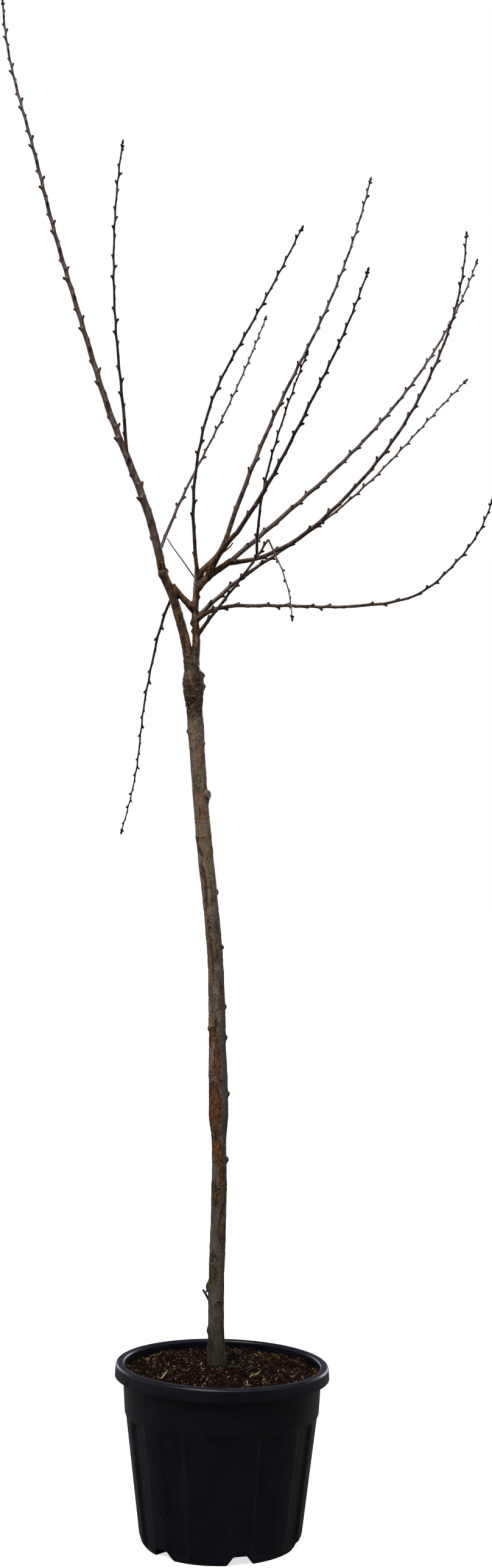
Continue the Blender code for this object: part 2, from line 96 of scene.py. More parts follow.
# Soil, as the solid has it.
SOIL_FOOT_FLAT = 0.022
SOIL_TOP = 0.2322
SOIL_SHOULDER = (0.070, 0.2295)
SOIL_EDGE = 0.2225

# Trunk, as the solid has it.
TRUNK_FOOT = (-0.0046, 0.0, SOIL_TOP + 0.0003)
TRUNK_LENGTH = 0.935
TRUNK_RISES = (88, 92, 89, 89, 84, 86, 87)
TRUNK_HEADINGS = (180,)
TRUNK_GIRTHS = (  # height above the soil in metres, diameter in millimetres
    (0.000, 26.0),
    (0.030, 22.0),
    (0.120, 21.0),
    (0.250, 20.2),
    (0.290, 19.6),
    (0.335, 25.6),
    (0.375, 25.4),
    (0.435, 23.4),
    (0.500, 21.8),
    (0.560, 20.6),
    (0.700, 20.0),
    (0.800, 19.6),
    (0.860, 22.0),
    (0.900, 28.5),
    (0.915, 27.5),
    (0.935, 22.5),
)
GRAFT_FOOT = 0.856  # the height where the dark graft head takes over from the stem's bark

# Each row: name, carrier, foot's place along the carrier, length in metres, rises in degrees above
# the level, compass headings in degrees, diameters in millimetres.
BOUGHS = (
    ("left_bough", "trunk", 0.98, 0.160, (70, 82, 74, 74, 65, 85), (187,), (13.5, 12.5, 11.4)),
    ("centre_bough", "trunk", 0.98, 0.135, (78, 86, 94, 85, 86), (17,), (12.5, 10.8, 9.6, 8.2)),
    ("link_bough", "centre_bough", 0.65, 0.045, (39, 54), (189,), (8.5, 8.0)),
    ("right_bough", "centre_bough", 0.87, 0.060, (49, 36, 36), (12,), (9.0, 8.8, 8.6)),
    ("front_bough", "right_bough", 0.36, 0.075, (64, 46, 31), (319,), (7.6, 7.6, 6.4)),
    ("back_bough", "centre_bough", 0.96, 0.080, (66, 42, 62, 74), (14,), (6.8, 7.0, 6.4)),
)
SHOOTS = (
    (
        "leader_shoot", "left_bough", 1.0, 0.810,
        (77, 67, 72, 72, 75, 73, 86), (161, 160, 150), (11.4, 6.8, 3.0),
    ),
    (
        "left_inner_shoot", "leader_shoot", 0.18, 0.400,
        (79, 62, 65, 63), (253, 268, 293), (4.8, 2.4),
    ),
    ("left_cross_shoot", "leader_shoot", 0.01, 0.475, (57, 50, 52, 54), (61, 59, 64), (4.4, 2.2)),
    (
        "front_upright_shoot", "centre_bough", 0.97, 0.485,
        (77, 63, 61, 47, 48, 51), (247, 307, 315), (5.2, 2.4),
    ),
    ("tall_right_shoot", "back_bough", 1.0, 0.515, (71, 67, 63, 69, 76), (8, 13), (6.4, 4.4, 2.4)),
    (
        "front_right_shoot", "front_bough", 1.0, 0.415,
        (41, 43, 37, 41), (313, 299, 289), (6.2, 4.2, 2.4),
    ),
    (
        "outer_right_shoot", "right_bough", 1.0, 0.655,
        (39, 40, 45, 52, 61), (29, 36, 51), (6.4, 4.6, 2.4),
    ),
    (
        "wide_right_shoot", "right_bough", 0.92, 0.555,
        (1, 35, 47, 58, 68, 86), (350, 340, 306), (5.8, 4.6, 2.4),
    ),
    (
        "short_right_shoot", "wide_right_shoot", 0.07, 0.310,
        (59, 49, 47, 43, 36), (270, 290, 291), (4.0, 2.2),
    ),
    (
        "low_right_shoot", "centre_bough", 0.55, 0.510,
        (48, 34, 40, 47, 45), (11, 18), (6.0, 3.4, 2.0),
    ),
    ("level_shoot", "centre_bough", 0.54, 0.230, (37, 1, -3, -5, -1), (334, 330), (5.8, 4.0)),
    ("level_shoot_tip", "level_shoot", 1.0, 0.260, (0, 7, 31, 38, 59), (338, 296), (4.0, 2.2)),
    ("drooping_shoot", "centre_bough", 0.39, 0.175, (44, 40, 41), (322, 310), (5.0, 3.0)),
    ("drooping_shoot_tip", "drooping_shoot", 1.0, 0.115, (-62, -62, -76), (330, 283), (2.4, 1.8)),
    (
        "hanging_shoot", "left_bough", 0.68, 0.380,
        (-47, -59, -49, -60, -53, -56), (128, 103, 118), (3.8, 1.9),
    ),
)
DEAD_TWIGS = (
    ("dead_twig", "centre_bough", 0.93, 0.090, (43, 48), (127, 137), (2.0, 1.4)),
    ("dead_spur", "front_bough", 0.47, 0.025, (22, 56), (25,), (2.6, 1.6)),
)
SNAGS = (
    ("broken_twig", "trunk", 0.075, 0.035, (60,), (182,), (4.0, 3.8, 3.2)),
    ("broken_prong", "broken_twig", 0.80, 0.0075, (74,), (10,), (2.2, 1.6)),
)
# The pruned stub: height, heading, rise, radius, and length from the stem's middle.
STUB = (0.7570, 338, 6, 0.0054, 0.0128)

# Strips on the trunk's bark. Each is given downwards, in rows of height above the soil in metres,
# heading in degrees and half width in millimetres. First come stains, then raised grey crusts.
STAINS = (
    ((0.7318, 288, 2.0), (0.7288, 298, 7.2), (0.7262, 311, 6.2), (0.7235, 316, 1.6)),
    ((0.7225, 312, 1.8), (0.7185, 310, 2.2), (0.7130, 302, 0.8)),
    ((0.7045, 262, 2.0), (0.7020, 285, 6.4), (0.6998, 300, 2.0)),
    ((0.7640, 266, 0.6), (0.7590, 262, 1.1), (0.7540, 258, 0.6)),
    ((0.9240, 244, 1.1), (0.9170, 252, 1.5), (0.9060, 263, 1.1), (0.8990, 272, 0.7)),
    ((0.9220, 228, 0.9), (0.9180, 232, 1.4), (0.9130, 236, 0.8)),
    ((0.9060, 330, 0.8), (0.8980, 338, 1.5), (0.8900, 342, 0.8)),
    ((0.4640, 226, 1.2), (0.4540, 224, 2.2), (0.4460, 222, 1.4)),
)
CRUSTS = (
    ((0.133, 237, 5.2), (0.120, 239, 5.4), (0.110, 241, 4.4)),
    ((0.245, 222, 3.0), (0.234, 228, 6.5), (0.222, 236, 6.8), (0.214, 244, 3.4)),
    ((0.246, 318, 1.0), (0.232, 322, 3.6), (0.218, 316, 2.6)),
    ((0.914, 196, 5.0), (0.893, 206, 6.4), (0.876, 216, 5.0), (0.862, 226, 2.4)),
)
OLD_SHOOTS = ("leader_shoot",)
RED_SHOOTS = (
    "low_right_shoot", "left_cross_shoot", "short_right_shoot", "hanging_shoot", "drooping_shoot_tip"
)

# Buds, as the solids have them: the spacing falls from the foot of a shoot to its tip.
BUD_FIRST = 0.030
BUD_SPACING_LOW = 0.019
BUD_SPACING_HIGH = 0.009
BUD_TURN = 144
BUD_LEAN = 38
TERMINAL_BUD = 0.007

# Peeled wounds, in the same form: bare wood with a torn rim.
WOUNDS = (
    (
        (0.461, 268, 0.7), (0.452, 262, 1.5), (0.445, 236, 5.0), (0.438, 232, 5.2), (0.430, 222, 3.4),
        (0.422, 208, 1.0),
    ),
    (
        (0.434, 262, 0.7), (0.427, 265, 1.6), (0.414, 267, 3.5), (0.400, 268, 4.0), (0.390, 270, 3.4),
        (0.381, 271, 0.8),
    ),
    (
        (0.377, 244, 1.2), (0.372, 238, 6.2), (0.358, 234, 10.4), (0.344, 234, 12.0), (0.332, 232, 11.4),
        (0.324, 229, 9.8), (0.314, 219, 7.4), (0.305, 221, 5.6), (0.294, 244, 6.8), (0.284, 257, 7.8),
        (0.276, 272, 5.4), (0.268, 272, 4.4), (0.262, 274, 1.0),
    ),
    ((0.264, 294, 2.4), (0.256, 296, 4.0), (0.248, 298, 3.8), (0.237, 296, 1.8)),
    ((0.235, 268, 2.2), (0.229, 270, 3.2), (0.221, 271, 3.0), (0.216, 272, 1.0)),
    ((0.2146, 303, 1.9), (0.208, 300, 1.8), (0.196, 290, 1.3), (0.187, 278, 0.7)),
)
# Healed scars, in the same form: mottled brown, with a dark low rim.
SCARS = (
    ((0.188, 300, 4.0), (0.182, 303, 6.2), (0.172, 306, 6.0), (0.165, 308, 4.5), (0.161, 308, 1.5)),
    ((0.1495, 236, 4.0), (0.143, 237, 6.4), (0.138, 238, 4.5)),
    ((0.133, 237, 5.4), (0.120, 239, 5.6), (0.110, 241, 4.6)),
    ((0.240, 130, 3.0), (0.215, 122, 5.5), (0.190, 118, 3.0)),
    ((0.560, 60, 2.0), (0.530, 66, 4.2), (0.505, 70, 2.4)),
)
# Seams of split brown bark, in the same form.
SEAMS = (
    ((0.509, 300, 1.2), (0.501, 303, 2.4), (0.492, 302, 1.2)),
    ((0.690, 210, 2.2), (0.684, 226, 3.2), (0.678, 244, 2.6), (0.674, 262, 1.4)),
    ((0.663, 236, 2.2), (0.655, 244, 3.4), (0.647, 246, 2.4)),
    ((0.648, 244, 2.0), (0.632, 246, 2.6), (0.618, 241, 2.2), (0.606, 238, 1.2)),
    ((0.700, 216, 3.2), (0.694, 214, 2.4)),
    ((0.640, 292, 1.4), (0.632, 294, 2.0), (0.622, 290, 1.4), (0.608, 286, 0.9)),
    ((0.575, 246, 1.0), (0.560, 250, 1.8), (0.545, 256, 2.2), (0.530, 252, 1.6), (0.518, 250, 0.9)),
    ((0.560, 282, 0.8), (0.548, 284, 1.6), (0.534, 280, 1.2)),
    ((0.742, 258, 0.9), (0.735, 262, 1.6), (0.729, 258, 1.0)),
    ((0.590, 300, 1.0), (0.580, 304, 1.8), (0.571, 302, 0.9)),
)
# Ribs of callus that run down from the graft, in the same form.
ROLLS = (
    ((0.922, 248, 2.0), (0.908, 258, 3.2), (0.893, 276, 3.6), (0.876, 292, 2.8), (0.864, 300, 1.4)),
    ((0.918, 348, 2.5), (0.900, 332, 3.6), (0.880, 320, 3.0), (0.866, 316, 1.4)),
    ((0.915, 60, 3.0), (0.895, 70, 4.0), (0.872, 84, 3.0)),
    ((0.920, 150, 3.0), (0.900, 140, 3.6), (0.878, 150, 2.6)),
)
# Rings of callus or old bud scales round the trunk: height, half height and how far they stand out.
RINGS = (
    (0.229, 0.0120, 0.0009), (0.7275, 0.0012, 0.0007), (0.7020, 0.0015, 0.0008), (0.7785, 0.0010, 0.0004),
    (0.148, 0.0010, 0.0005), (0.923, 0.0022, 0.0009), (0.912, 0.0016, 0.0005),
)
# Knots: height, heading, half width, half height, how far they stand out and depth of the eye.
KNOTS = (
    (0.022, 150, 0.0045, 0.0050, 0.0028, 0.0000), (0.047, 176, 0.0034, 0.0044, 0.0016, 0.0000),
    (0.104, 180, 0.0060, 0.0070, 0.0032, 0.0000), (0.085, 288, 0.0052, 0.0032, 0.0018, 0.0030),
    (0.273, 0, 0.0040, 0.0042, 0.0030, 0.0000), (0.360, 355, 0.0036, 0.0036, 0.0022, 0.0000),
    (0.378, 288, 0.0034, 0.0032, 0.0012, 0.0028), (0.435, 5, 0.0032, 0.0034, 0.0022, 0.0000),
    (0.476, 350, 0.0032, 0.0034, 0.0022, 0.0000), (0.447, 192, 0.0032, 0.0032, 0.0018, 0.0000),
    (0.554, 0, 0.0032, 0.0030, 0.0022, 0.0000), (0.627, 10, 0.0032, 0.0032, 0.0022, 0.0000),
    (0.5806, 249, 0.0042, 0.0044, 0.0010, 0.0014), (0.673, 276, 0.0016, 0.0026, 0.0006, 0.0012),
    (0.7545, 352, 0.0070, 0.0080, 0.0024, 0.0000), (0.825, 335, 0.0030, 0.0030, 0.0016, 0.0000),
    (0.843, 192, 0.0028, 0.0032, 0.0016, 0.0000), (0.885, 266, 0.0034, 0.0030, 0.0012, 0.0026),
    (0.9079, 298, 0.0042, 0.0040, 0.0010, 0.0024), (0.917, 358, 0.0040, 0.0044, 0.0044, 0.0000),
    (0.901, 2, 0.0044, 0.0050, 0.0030, 0.0000), (0.300, 60, 0.0040, 0.0045, 0.0022, 0.0014),
    (0.650, 110, 0.0035, 0.0040, 0.0018, 0.0012),
)
# Warts on the graft head: height, heading and radius.
WARTS = (
    (0.9045, 222, 0.0016), (0.8886, 262, 0.0010), (0.8880, 272, 0.0011), (0.8822, 271, 0.0009),
    (0.8834, 258, 0.0009), (0.898, 216, 0.0019), (0.890, 224, 0.0013), (0.8755, 263, 0.0017),
    (0.8745, 248, 0.0015), (0.897, 290, 0.0015), (0.905, 302, 0.0014), (0.903, 284, 0.0012),
    (0.884, 302, 0.0012), (0.868, 234, 0.0012), (0.912, 228, 0.0014), (0.870, 300, 0.0012),
    (0.880, 238, 0.0011), (0.893, 150, 0.0016), (0.884, 60, 0.0015), (0.902, 110, 0.0016),
    (0.873, 100, 0.0013),
)
# Marks on the graft head and the boughs, limb by limb: place along the limb, heading, radius, how far it
# stands out and kind. Lengths are in metres. Shade marks are painted shade, dark patches drawn out along
# the boughs. Gold marks are golden bark streaked with a painted satin highlight. Pale marks are weathered
# grey bark that also serves as a painted highlight.
MARKS = (
    (
        "left_bough",
        (
            (0.920, 262, 0.0052, -0.0018, "dark"), (0.880, 192, 0.0048, 0.0014, "bark"),
            (0.740, 300, 0.0030, -0.0006, "dark"), (0.640, 345, 0.0050, -0.0014, "dark"),
            (0.560, 330, 0.0050, -0.0016, "dark"), (0.480, 335, 0.0044, -0.0010, "dark"),
            (0.300, 300, 0.0040, 0.0005, "gold"), (0.200, 292, 0.0046, 0.0006, "gold"),
            (0.110, 280, 0.0044, 0.0005, "gold"),
        ),
    ),
    (
        "centre_bough",
        (
            (0.675, 225, 0.0050, 0.0016, "knot"), (0.520, 185, 0.0036, 0.0026, "dark"),
            (0.440, 182, 0.0032, 0.0020, "dark"), (0.860, 330, 0.0050, 0.0014, "knot"),
            (0.780, 352, 0.0028, 0.0018, "dark"), (0.120, 270, 0.0040, 0.0004, "pale"),
            (0.830, 225, 0.0030, 0.0004, "pale"), (0.880, 222, 0.0036, 0.0004, "pale"),
            (0.930, 218, 0.0038, 0.0005, "pale"), (0.980, 214, 0.0036, 0.0004, "pale"),
            (0.955, 320, 0.0052, -0.0004, "shade"), (0.900, 312, 0.0050, 0.0000, "shade"),
            (0.845, 318, 0.0050, -0.0003, "shade"), (0.720, 300, 0.0056, 0.0000, "shade"),
            (0.650, 310, 0.0052, -0.0003, "shade"), (0.560, 318, 0.0054, 0.0000, "shade"),
            (0.460, 304, 0.0056, -0.0003, "shade"), (0.300, 316, 0.0056, 0.0000, "shade"),
            (0.200, 300, 0.0050, -0.0003, "shade"),
        ),
    ),
    (
        "left_bough",
        (
            (0.860, 262, 0.0050, 0.0000, "shade"), (0.790, 238, 0.0050, 0.0000, "shade"),
            (0.680, 296, 0.0048, -0.0003, "shade"), (0.420, 312, 0.0050, 0.0000, "shade"),
            (0.520, 242, 0.0026, 0.0003, "gold"), (0.360, 240, 0.0024, 0.0000, "gold"),
            (0.700, 236, 0.0024, 0.0000, "gold"),
        ),
    ),
    (
        "centre_bough",
        (
            (0.600, 275, 0.0034, 0.0000, "pale"), (0.340, 280, 0.0036, 0.0000, "pale"),
        ),
    ),
    (
        "right_bough",
        (
            (0.300, 200, 0.0040, 0.0008, "knot"),
        ),
    ),
)
# Swellings that fill the forks: limb, place along it, heading, how far off its middle, radius.
CROTCHES = (
    ("centre_bough", 0.985, 10, 0.0034, 0.0042),
    ("right_bough", 0.300, 40, 0.0024, 0.0042),
    ("left_bough", 0.900, 30, 0.0040, 0.0046),
)

SPRAY_SEED = 11  # buds draw from this seed, and crumbs, shreds and moss from the three after it

# Names of the masks that the bark's shapes leave on it for its materials.
BARK_LAYERS = ("wound", "scar", "seam", "eye", "edge", "graft", "wart", "rib", "crust", "stain", "painted_shade_side")
# On the boughs, shade is painted shade, and gold and pale carry painted highlights.
BOUGH_LAYERS = ("shade", "gold", "knot", "pale", "dark")


def linear(code):
    """An sRGB hex colour as linear red, green, blue and alpha."""
    channels = [int(code[i : i + 2], 16) / 255 for i in (1, 3, 5)]
    return tuple(c / 12.92 if c <= 0.04045 else ((c + 0.055) / 1.055) ** 2.4 for c in channels) + (1.0,)


def as_colour(look):
    """A hex code made linear. A colour setting or a linked colour stays as it is."""
    return linear(look) if isinstance(look, str) else look


def darkened(colour, share):
    return tuple(channel * share for channel in colour[:3]) + (1.0,)


def feed(tree, node, inputs):
    """Sets or links each of a node's inputs."""
    for name, value in inputs.items():
        if isinstance(value, bpy.types.NodeSocket):
            tree.links.new(value, node.inputs[name])
        else:
            node.inputs[name].default_value = value


def add(tree, kind, inputs=None, settings=None):
    """Adds a node with its settings, and sets or links its inputs."""
    node = tree.nodes.new(kind)
    for name, value in (settings or {}).items():
        setattr(node, name, value)
    feed(tree, node, inputs or {})
    return node


def new_material(name):
    """An empty material with its shader: (material, node tree, shader)."""
    made = bpy.data.materials.new(name)
    made.use_nodes = True
    return made, made.node_tree, made.node_tree.nodes["Principled BSDF"]


def span(pattern, low, high, most=1.0):
    """The inputs of a mask that rises from 0 to the most it shows as a pattern goes from low to high."""
    return {"Value": pattern, "From Min": low, "From Max": high, "To Max": most}


def coated(tree, colour, *coats):
    """The colour after each coat in turn. A coat is (how much of it shows, its colour), or (pattern,
    low, high, the most it shows, its colour), and the most may be left out where it is all."""
    for *shown, coat in coats:
        if len(shown) > 1:
            shown = [add(tree, "ShaderNodeMapRange", span(*shown)).outputs["Result"]]
        inputs = {0: shown[0], 6: as_colour(colour), 7: as_colour(coat)}
        colour = add(tree, "ShaderNodeMix", inputs, {"data_type": "RGBA"}).outputs[2]
    return colour


def colour_setting(name, description, code):
    return bpy.props.FloatVectorProperty(
        name=name, description=description, subtype="COLOR", size=4, min=0, max=1, default=linear(code)
    )


def length_setting(name, description, default):
    return bpy.props.FloatProperty(
        name=name, description=description, default=default, min=0, unit="LENGTH", precision=4
    )


def count_setting(name, description, default):
    return bpy.props.IntProperty(name=name, description=description, default=default, min=0)


class TreePotSettings(bpy.types.PropertyGroup):
    plastic: colour_setting("Plastic", "Black polypropylene of the pot", "#040411")
    bloom: colour_setting("Scuffed plastic", "Where handling has dulled the plastic", "#090b19")
    dust: colour_setting("Dust", "Specks of dried peat dust", "#9a9892")
    roughness: bpy.props.FloatProperty(
        name="Roughness",
        description="Satin of the moulded plastic",
        default=0.33,
        min=0,
        max=1,
        subtype="FACTOR",
    )
    dust_spacing: length_setting("Dust spacing", "Distance between specks", 0.011)


class TreeSoilSettings(bpy.types.PropertyGroup):
    peat: colour_setting("Peat", "Dark moist peat", "#0d0805")
    bark: colour_setting("Bark", "Composted bark", "#1b1109")
    straw: colour_setting("Fibre", "Bleached wood fibre", "#86724f")
    moss: colour_setting("Moss", "Green moss", "#2e3519")
    lump: length_setting("Lump height", "How far the soil's lumps rise and fall", 0.0038)
    shreds: count_setting("Shreds", "Bark shreds lying on the peat", 3600)
    crumbs: count_setting("Crumbs", "Crumbs of peat", 1500)


class TreeBarkSettings(bpy.types.PropertyGroup):
    upper: colour_setting("Upper bark", "Buff grey bark below the graft", "#716150")
    lower: colour_setting("Lower bark", "Slate grey bark near the soil", "#4a443b")
    mottle: colour_setting("Mottle", "Brown film on the bark", "#33271c")
    wood: colour_setting("Peeled wood", "Orange brown wood in the wounds", "#63401b")
    graft: colour_setting("Graft", "Dark olive bark of the graft head", "#433424")
    bough: colour_setting("Boughs", "Brown bark of the boughs", "#54371a")
    relief: length_setting("Relief", "How far the bark's roughness stands out", 0.00038)


class TreeShootSettings(bpy.types.PropertyGroup):
    young: colour_setting("Young bark", "Grey brown bark of one-year shoots", "#4b392f")
    red: colour_setting("Red bark", "Redder bark of the thin shoots", "#432b1f")
    scale: colour_setting("Bud scales", "Brown scales of the buds", "#3f2c21")
    gold: colour_setting("Gold scales", "Paler scales on some buds", "#5a4229")
    tip: colour_setting("Bud tips", "Dark tips of the buds", "#1b120f")
    bud_length: length_setting("Bud length", "Length of a full bud", 0.0047)
    bud_width: length_setting("Bud width", "Width of a full bud", 0.0033)


class TreeStageSettings(bpy.types.PropertyGroup):
    floor: colour_setting("Floor", "Pale studio floor", "#fcfcfc")
    floor_size: length_setting("Floor size", "Side of the floor", 60.0)
    camera_side: bpy.props.FloatProperty(
        name="Camera side", description="Place of the camera to the right", default=0.0339, unit="LENGTH"
    )
    camera_distance: length_setting("Camera distance", "From the pot's axis to the camera", 2.8)
    camera_height: length_setting("Camera height", "Above the floor", 0.914)
    lens: bpy.props.FloatProperty(
        name="Lens", description="Focal length", default=48.45, min=1, unit="CAMERA"
    )
    shift: bpy.props.FloatProperty(name="Shift", description="Upward shift of the view", default=0.0431)


# Lines: the limbs as centre lines with radii.


def smooth_value(values, fraction):
    """A Catmull-Rom curve through evenly spaced values, read at a fraction of its length."""
    last = len(values) - 1
    if last == 0:
        return values[0]
    place = min(max(fraction * last, 0), last)
    index = min(int(place), last - 1)
    t = place - index
    before = values[index - 1] if index > 0 else 2 * values[0] - values[1]
    here, there = values[index], values[index + 1]
    after = values[index + 2] if index + 2 <= last else 2 * values[last] - values[last - 1]
    square = (2 * before - 5 * here + 4 * there - after) * t * t
    cube = (3 * here - before - 3 * there + after) * t * t * t
    return 0.5 * (2 * here + (there - before) * t + square + cube)


def ease(low, high, value):
    """0 below low, 1 above high, with a soft change between them."""
    t = min(max((value - low) / (high - low), 0.0), 1.0)
    return t * t * (3 - 2 * t)


def uneven_value(pairs, place):
    """Eased interpolation in a list of (place, value) pairs."""
    for (start, low), (end, high) in zip(pairs, pairs[1:]):
        if place <= end:
            return low + (high - low) * ease(start, end, place)
    return pairs[-1][1]


def toward(turn, climb=0.0):
    """The unit vector at a heading and a rise, both in radians."""
    return Vector((math.cos(turn) * math.cos(climb), math.sin(turn) * math.cos(climb), math.sin(climb)))


def walk(foot, length, rises, headings, steps):
    """The centre line: it starts at the foot and takes equal steps along the rise and heading."""
    points = [Vector(foot)]
    for step in range(steps):
        middle = (step + 0.5) / steps
        rise = math.radians(smooth_value(rises, middle))
        heading = math.radians(smooth_value(headings, middle))
        points.append(points[-1] + toward(heading, rise) * length / steps)
    return points


class Line:
    """A limb's centre line, with its radius and an untwisted side vector at each point."""

    def __init__(self, name, length, points, radii):
        self.name = name
        self.length = length
        self.points = points
        self.radii = radii
        self.count = len(points) - 1
        self.ways = []
        for i in range(len(points)):
            way = points[min(i + 1, self.count)] - points[max(i - 1, 0)]
            self.ways.append(way.normalized())
        side = Vector((1, 0, 0)) if abs(self.ways[0].x) < 0.9 else Vector((0, 1, 0))
        self.sides = []
        for way in self.ways:
            side = (side - way * side.dot(way)).normalized()
            self.sides.append(side)

    def blend(self, values, share):
        place = min(max(share, 0.0), 1.0) * self.count
        index = min(int(place), self.count - 1)
        part = place - index
        return values[index] * (1 - part) + values[index + 1] * part

    def at(self, share):
        return self.blend(self.points, share)

    def radius_at(self, share):
        return self.blend(self.radii, share)

    def way_at(self, share):
        return self.blend(self.ways, share).normalized()

    def out_at(self, share, angle):
        """The way out of the limb at an angle, in radians, from its side vector."""
        way = self.way_at(share)
        side = self.blend(self.sides, share).normalized()
        return side * math.cos(angle) + way.cross(side) * math.sin(angle)

    def angle_of(self, share, direction):
        """The angle from the side vector at which a direction points out of the limb."""
        way = self.way_at(share)
        side = self.blend(self.sides, share).normalized()
        return math.atan2(direction.dot(way.cross(side)), direction.dot(side))


FINE_STEP = 0.0015  # length of a step along a centre line


def trunk_line():
    steps = round(TRUNK_LENGTH / FINE_STEP)
    points = walk(TRUNK_FOOT, TRUNK_LENGTH, TRUNK_RISES, TRUNK_HEADINGS, steps)
    radii = [uneven_value(TRUNK_GIRTHS, TRUNK_LENGTH * i / steps) * MM / 2 for i in range(steps + 1)]
    return Line("trunk", TRUNK_LENGTH, points, radii)


def limb_line(row, lines):
    name, carrier, along, length, rises, headings, girth = row
    steps = max(4, round(length / FINE_STEP))
    points = walk(lines[carrier].at(along), length, rises, headings, steps)
    radii = [smooth_value(girth, i / steps) * MM / 2 for i in range(steps + 1)]
    return Line(name, length, points, radii)


def all_lines():
    lines = {"trunk": trunk_line()}
    for row in BOUGHS + SHOOTS + DEAD_TWIGS + SNAGS:
        lines[row[0]] = limb_line(row, lines)
    return lines


STUB_SWELL = 1.35  # how much wider the stub is inside the stem than at its cut
STUB_RIM = 0.0006  # width of the bark round the saw cut


def stub_mesh():
    """A short stub left by the pruning saw, with its flat cut end in the second material."""
    height, heading, rise, radius, length = STUB
    shell = bmesh.new()
    bmesh.ops.create_cone(
        shell, cap_ends=True, segments=20, radius1=radius * STUB_SWELL, radius2=radius, depth=length
    )
    sides = [edge for edge in shell.edges if abs(edge.verts[0].co.z - edge.verts[1].co.z) > length / 2]
    bmesh.ops.subdivide_edges(shell, edges=sides, cuts=10)
    end = [face for face in shell.faces if face.calc_center_median().z > length / 2 - 1e-5]
    bmesh.ops.inset_region(shell, faces=end, thickness=STUB_RIM, depth=-STUB_RIM / 2)
    way = toward(math.radians(heading), math.radians(rise))
    foot = LINES["trunk"].at(height / TRUNK_LENGTH)
    for face in shell.faces:
        face.material_index = 1 if face.calc_center_median().z > length / 2 - 0.0004 else 0
    for vertex in shell.verts:
        bump = 1 + 0.16 * noise.noise(vertex.co * 320)  # uneven by a sixth, over 3 mm
        vertex.co = Vector((vertex.co.x * bump, vertex.co.y * bump * 1.25, vertex.co.z + length / 2))
    laid = way.to_track_quat("Z", "X").to_matrix()
    bmesh.ops.rotate(shell, verts=shell.verts[:], cent=(0, 0, 0), matrix=laid)
    bmesh.ops.translate(shell, verts=shell.verts[:], vec=foot)
    return shell


LINES = all_lines()


# Meshes.


def mesh_of(shell, name):
    """The mesh of a bmesh, which is freed."""
    mesh = bpy.data.meshes.new(name)
    shell.to_mesh(mesh)
    shell.free()
    return mesh


def finish_piece(shell, name, materials, replaced, angle):
    """Makes the bmesh a piece that rides on the plant, with its materials and shading."""
    return dress(mesh_of(shell, name), name, materials, replaced, angle)


def dress(mesh, name, materials, replaced, angle):
    """Makes the mesh a piece. Edges sharper than the angle, in degrees, are shaded as creases."""
    mesh.shade_smooth()
    mesh.set_sharp_from_angle(angle=math.radians(angle))
    mesh.materials.clear()
    for material in materials:
        mesh.materials.append(material)
    piece = bpy.data.objects.new(name, mesh)
    bpy.context.scene.collection.objects.link(piece)
    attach(piece, BODY)
    if replaced:
        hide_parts(*replaced)
    return piece


def modified(mesh, kind, settings, tool_mesh=None):
    """A new mesh, made from one or two old ones by a modifier. The old ones are removed."""
    used = [mesh, tool_mesh] if tool_mesh else [mesh]
    holders = [bpy.data.objects.new("holder", item) for item in used]
    for holder in holders:
        bpy.context.scene.collection.objects.link(holder)
    modifier = holders[0].modifiers.new("Work", kind)
    for name, value in settings.items():
        setattr(modifier, name, value)
    if tool_mesh:
        modifier.object = holders[1]
    bpy.context.view_layer.update()
    graph = bpy.context.evaluated_depsgraph_get()
    made = bpy.data.meshes.new_from_object(holders[0].evaluated_get(graph))
    for holder in holders:
        bpy.data.objects.remove(holder)
    for item in used:
        bpy.data.meshes.remove(item)
    return made


def straight_tube(rings, sides):
    """A capped tube of radius 1 from height 0 to 1, spun from one divided edge."""
    shell = bmesh.new()
    foot = shell.verts.new((1, 0, 0))
    top = shell.verts.new((1, 0, 1))
    edge = shell.edges.new((foot, top))
    bmesh.ops.subdivide_edges(shell, edges=[edge], cuts=rings - 1)
    spun = shell.verts[:] + shell.edges[:]
    bmesh.ops.spin(
        shell, geom=spun, cent=(0, 0, 0), axis=(0, 0, 1), angle=TURN, steps=sides, use_merge=True
    )
    bmesh.ops.holes_fill(shell, edges=shell.edges[:], sides=sides)
    bmesh.ops.recalc_face_normals(shell, faces=shell.faces[:])
    return shell


def bend_tube(shell, line, start, end, radius_of, shift_of=None):
    """Lays a straight tube along part of a line. radius_of takes the share along it and the angle."""
    for vertex in shell.verts:
        share = start + (end - start) * vertex.co.z
        angle = math.atan2(vertex.co.y, vertex.co.x)
        centre = line.at(share)
        if shift_of:
            centre = centre + shift_of(share)
        vertex.co = centre + line.out_at(share, angle) * radius_of(vertex, share, angle)


def turned_from(angle, heading):
    """Degrees between an angle in radians and a heading, -180 to 180."""
    return (math.degrees(angle) - heading + 180) % 360 - 180


def strip_mask(strip, height, angle, radius, edge):
    """How far a point of the bark lies inside a strip of (height, heading, half width): 0 to 1."""
    if height > strip[0][0] + edge or height < strip[-1][0] - edge:
        return 0.0
    rising = list(reversed(strip))
    place = min(max(height, rising[0][0]), rising[-1][0])
    heading = uneven_value([(row[0], row[1]) for row in rising], place)
    half = uneven_value([(row[0], row[2]) for row in rising], place) * MM
    off = abs(math.radians(turned_from(angle, heading))) * radius
    past = max(height - strip[0][0], strip[-1][0] - height, 0.0)
    return 1 - ease(half - edge, half + edge, off + past)


TRUNK_RINGS = 1050
TRUNK_SIDES = 84
TRUNK_SHOULDER = 0.904  # the height above which the head closes in under the boughs' skin
KNOT_REACH = 2.2  # how many times its own size a knot or a mark can be felt
PAINTED_SHADE_HEADING = 330  # the side of the lower stem that is painted greyer and darker: painted shade on its right side
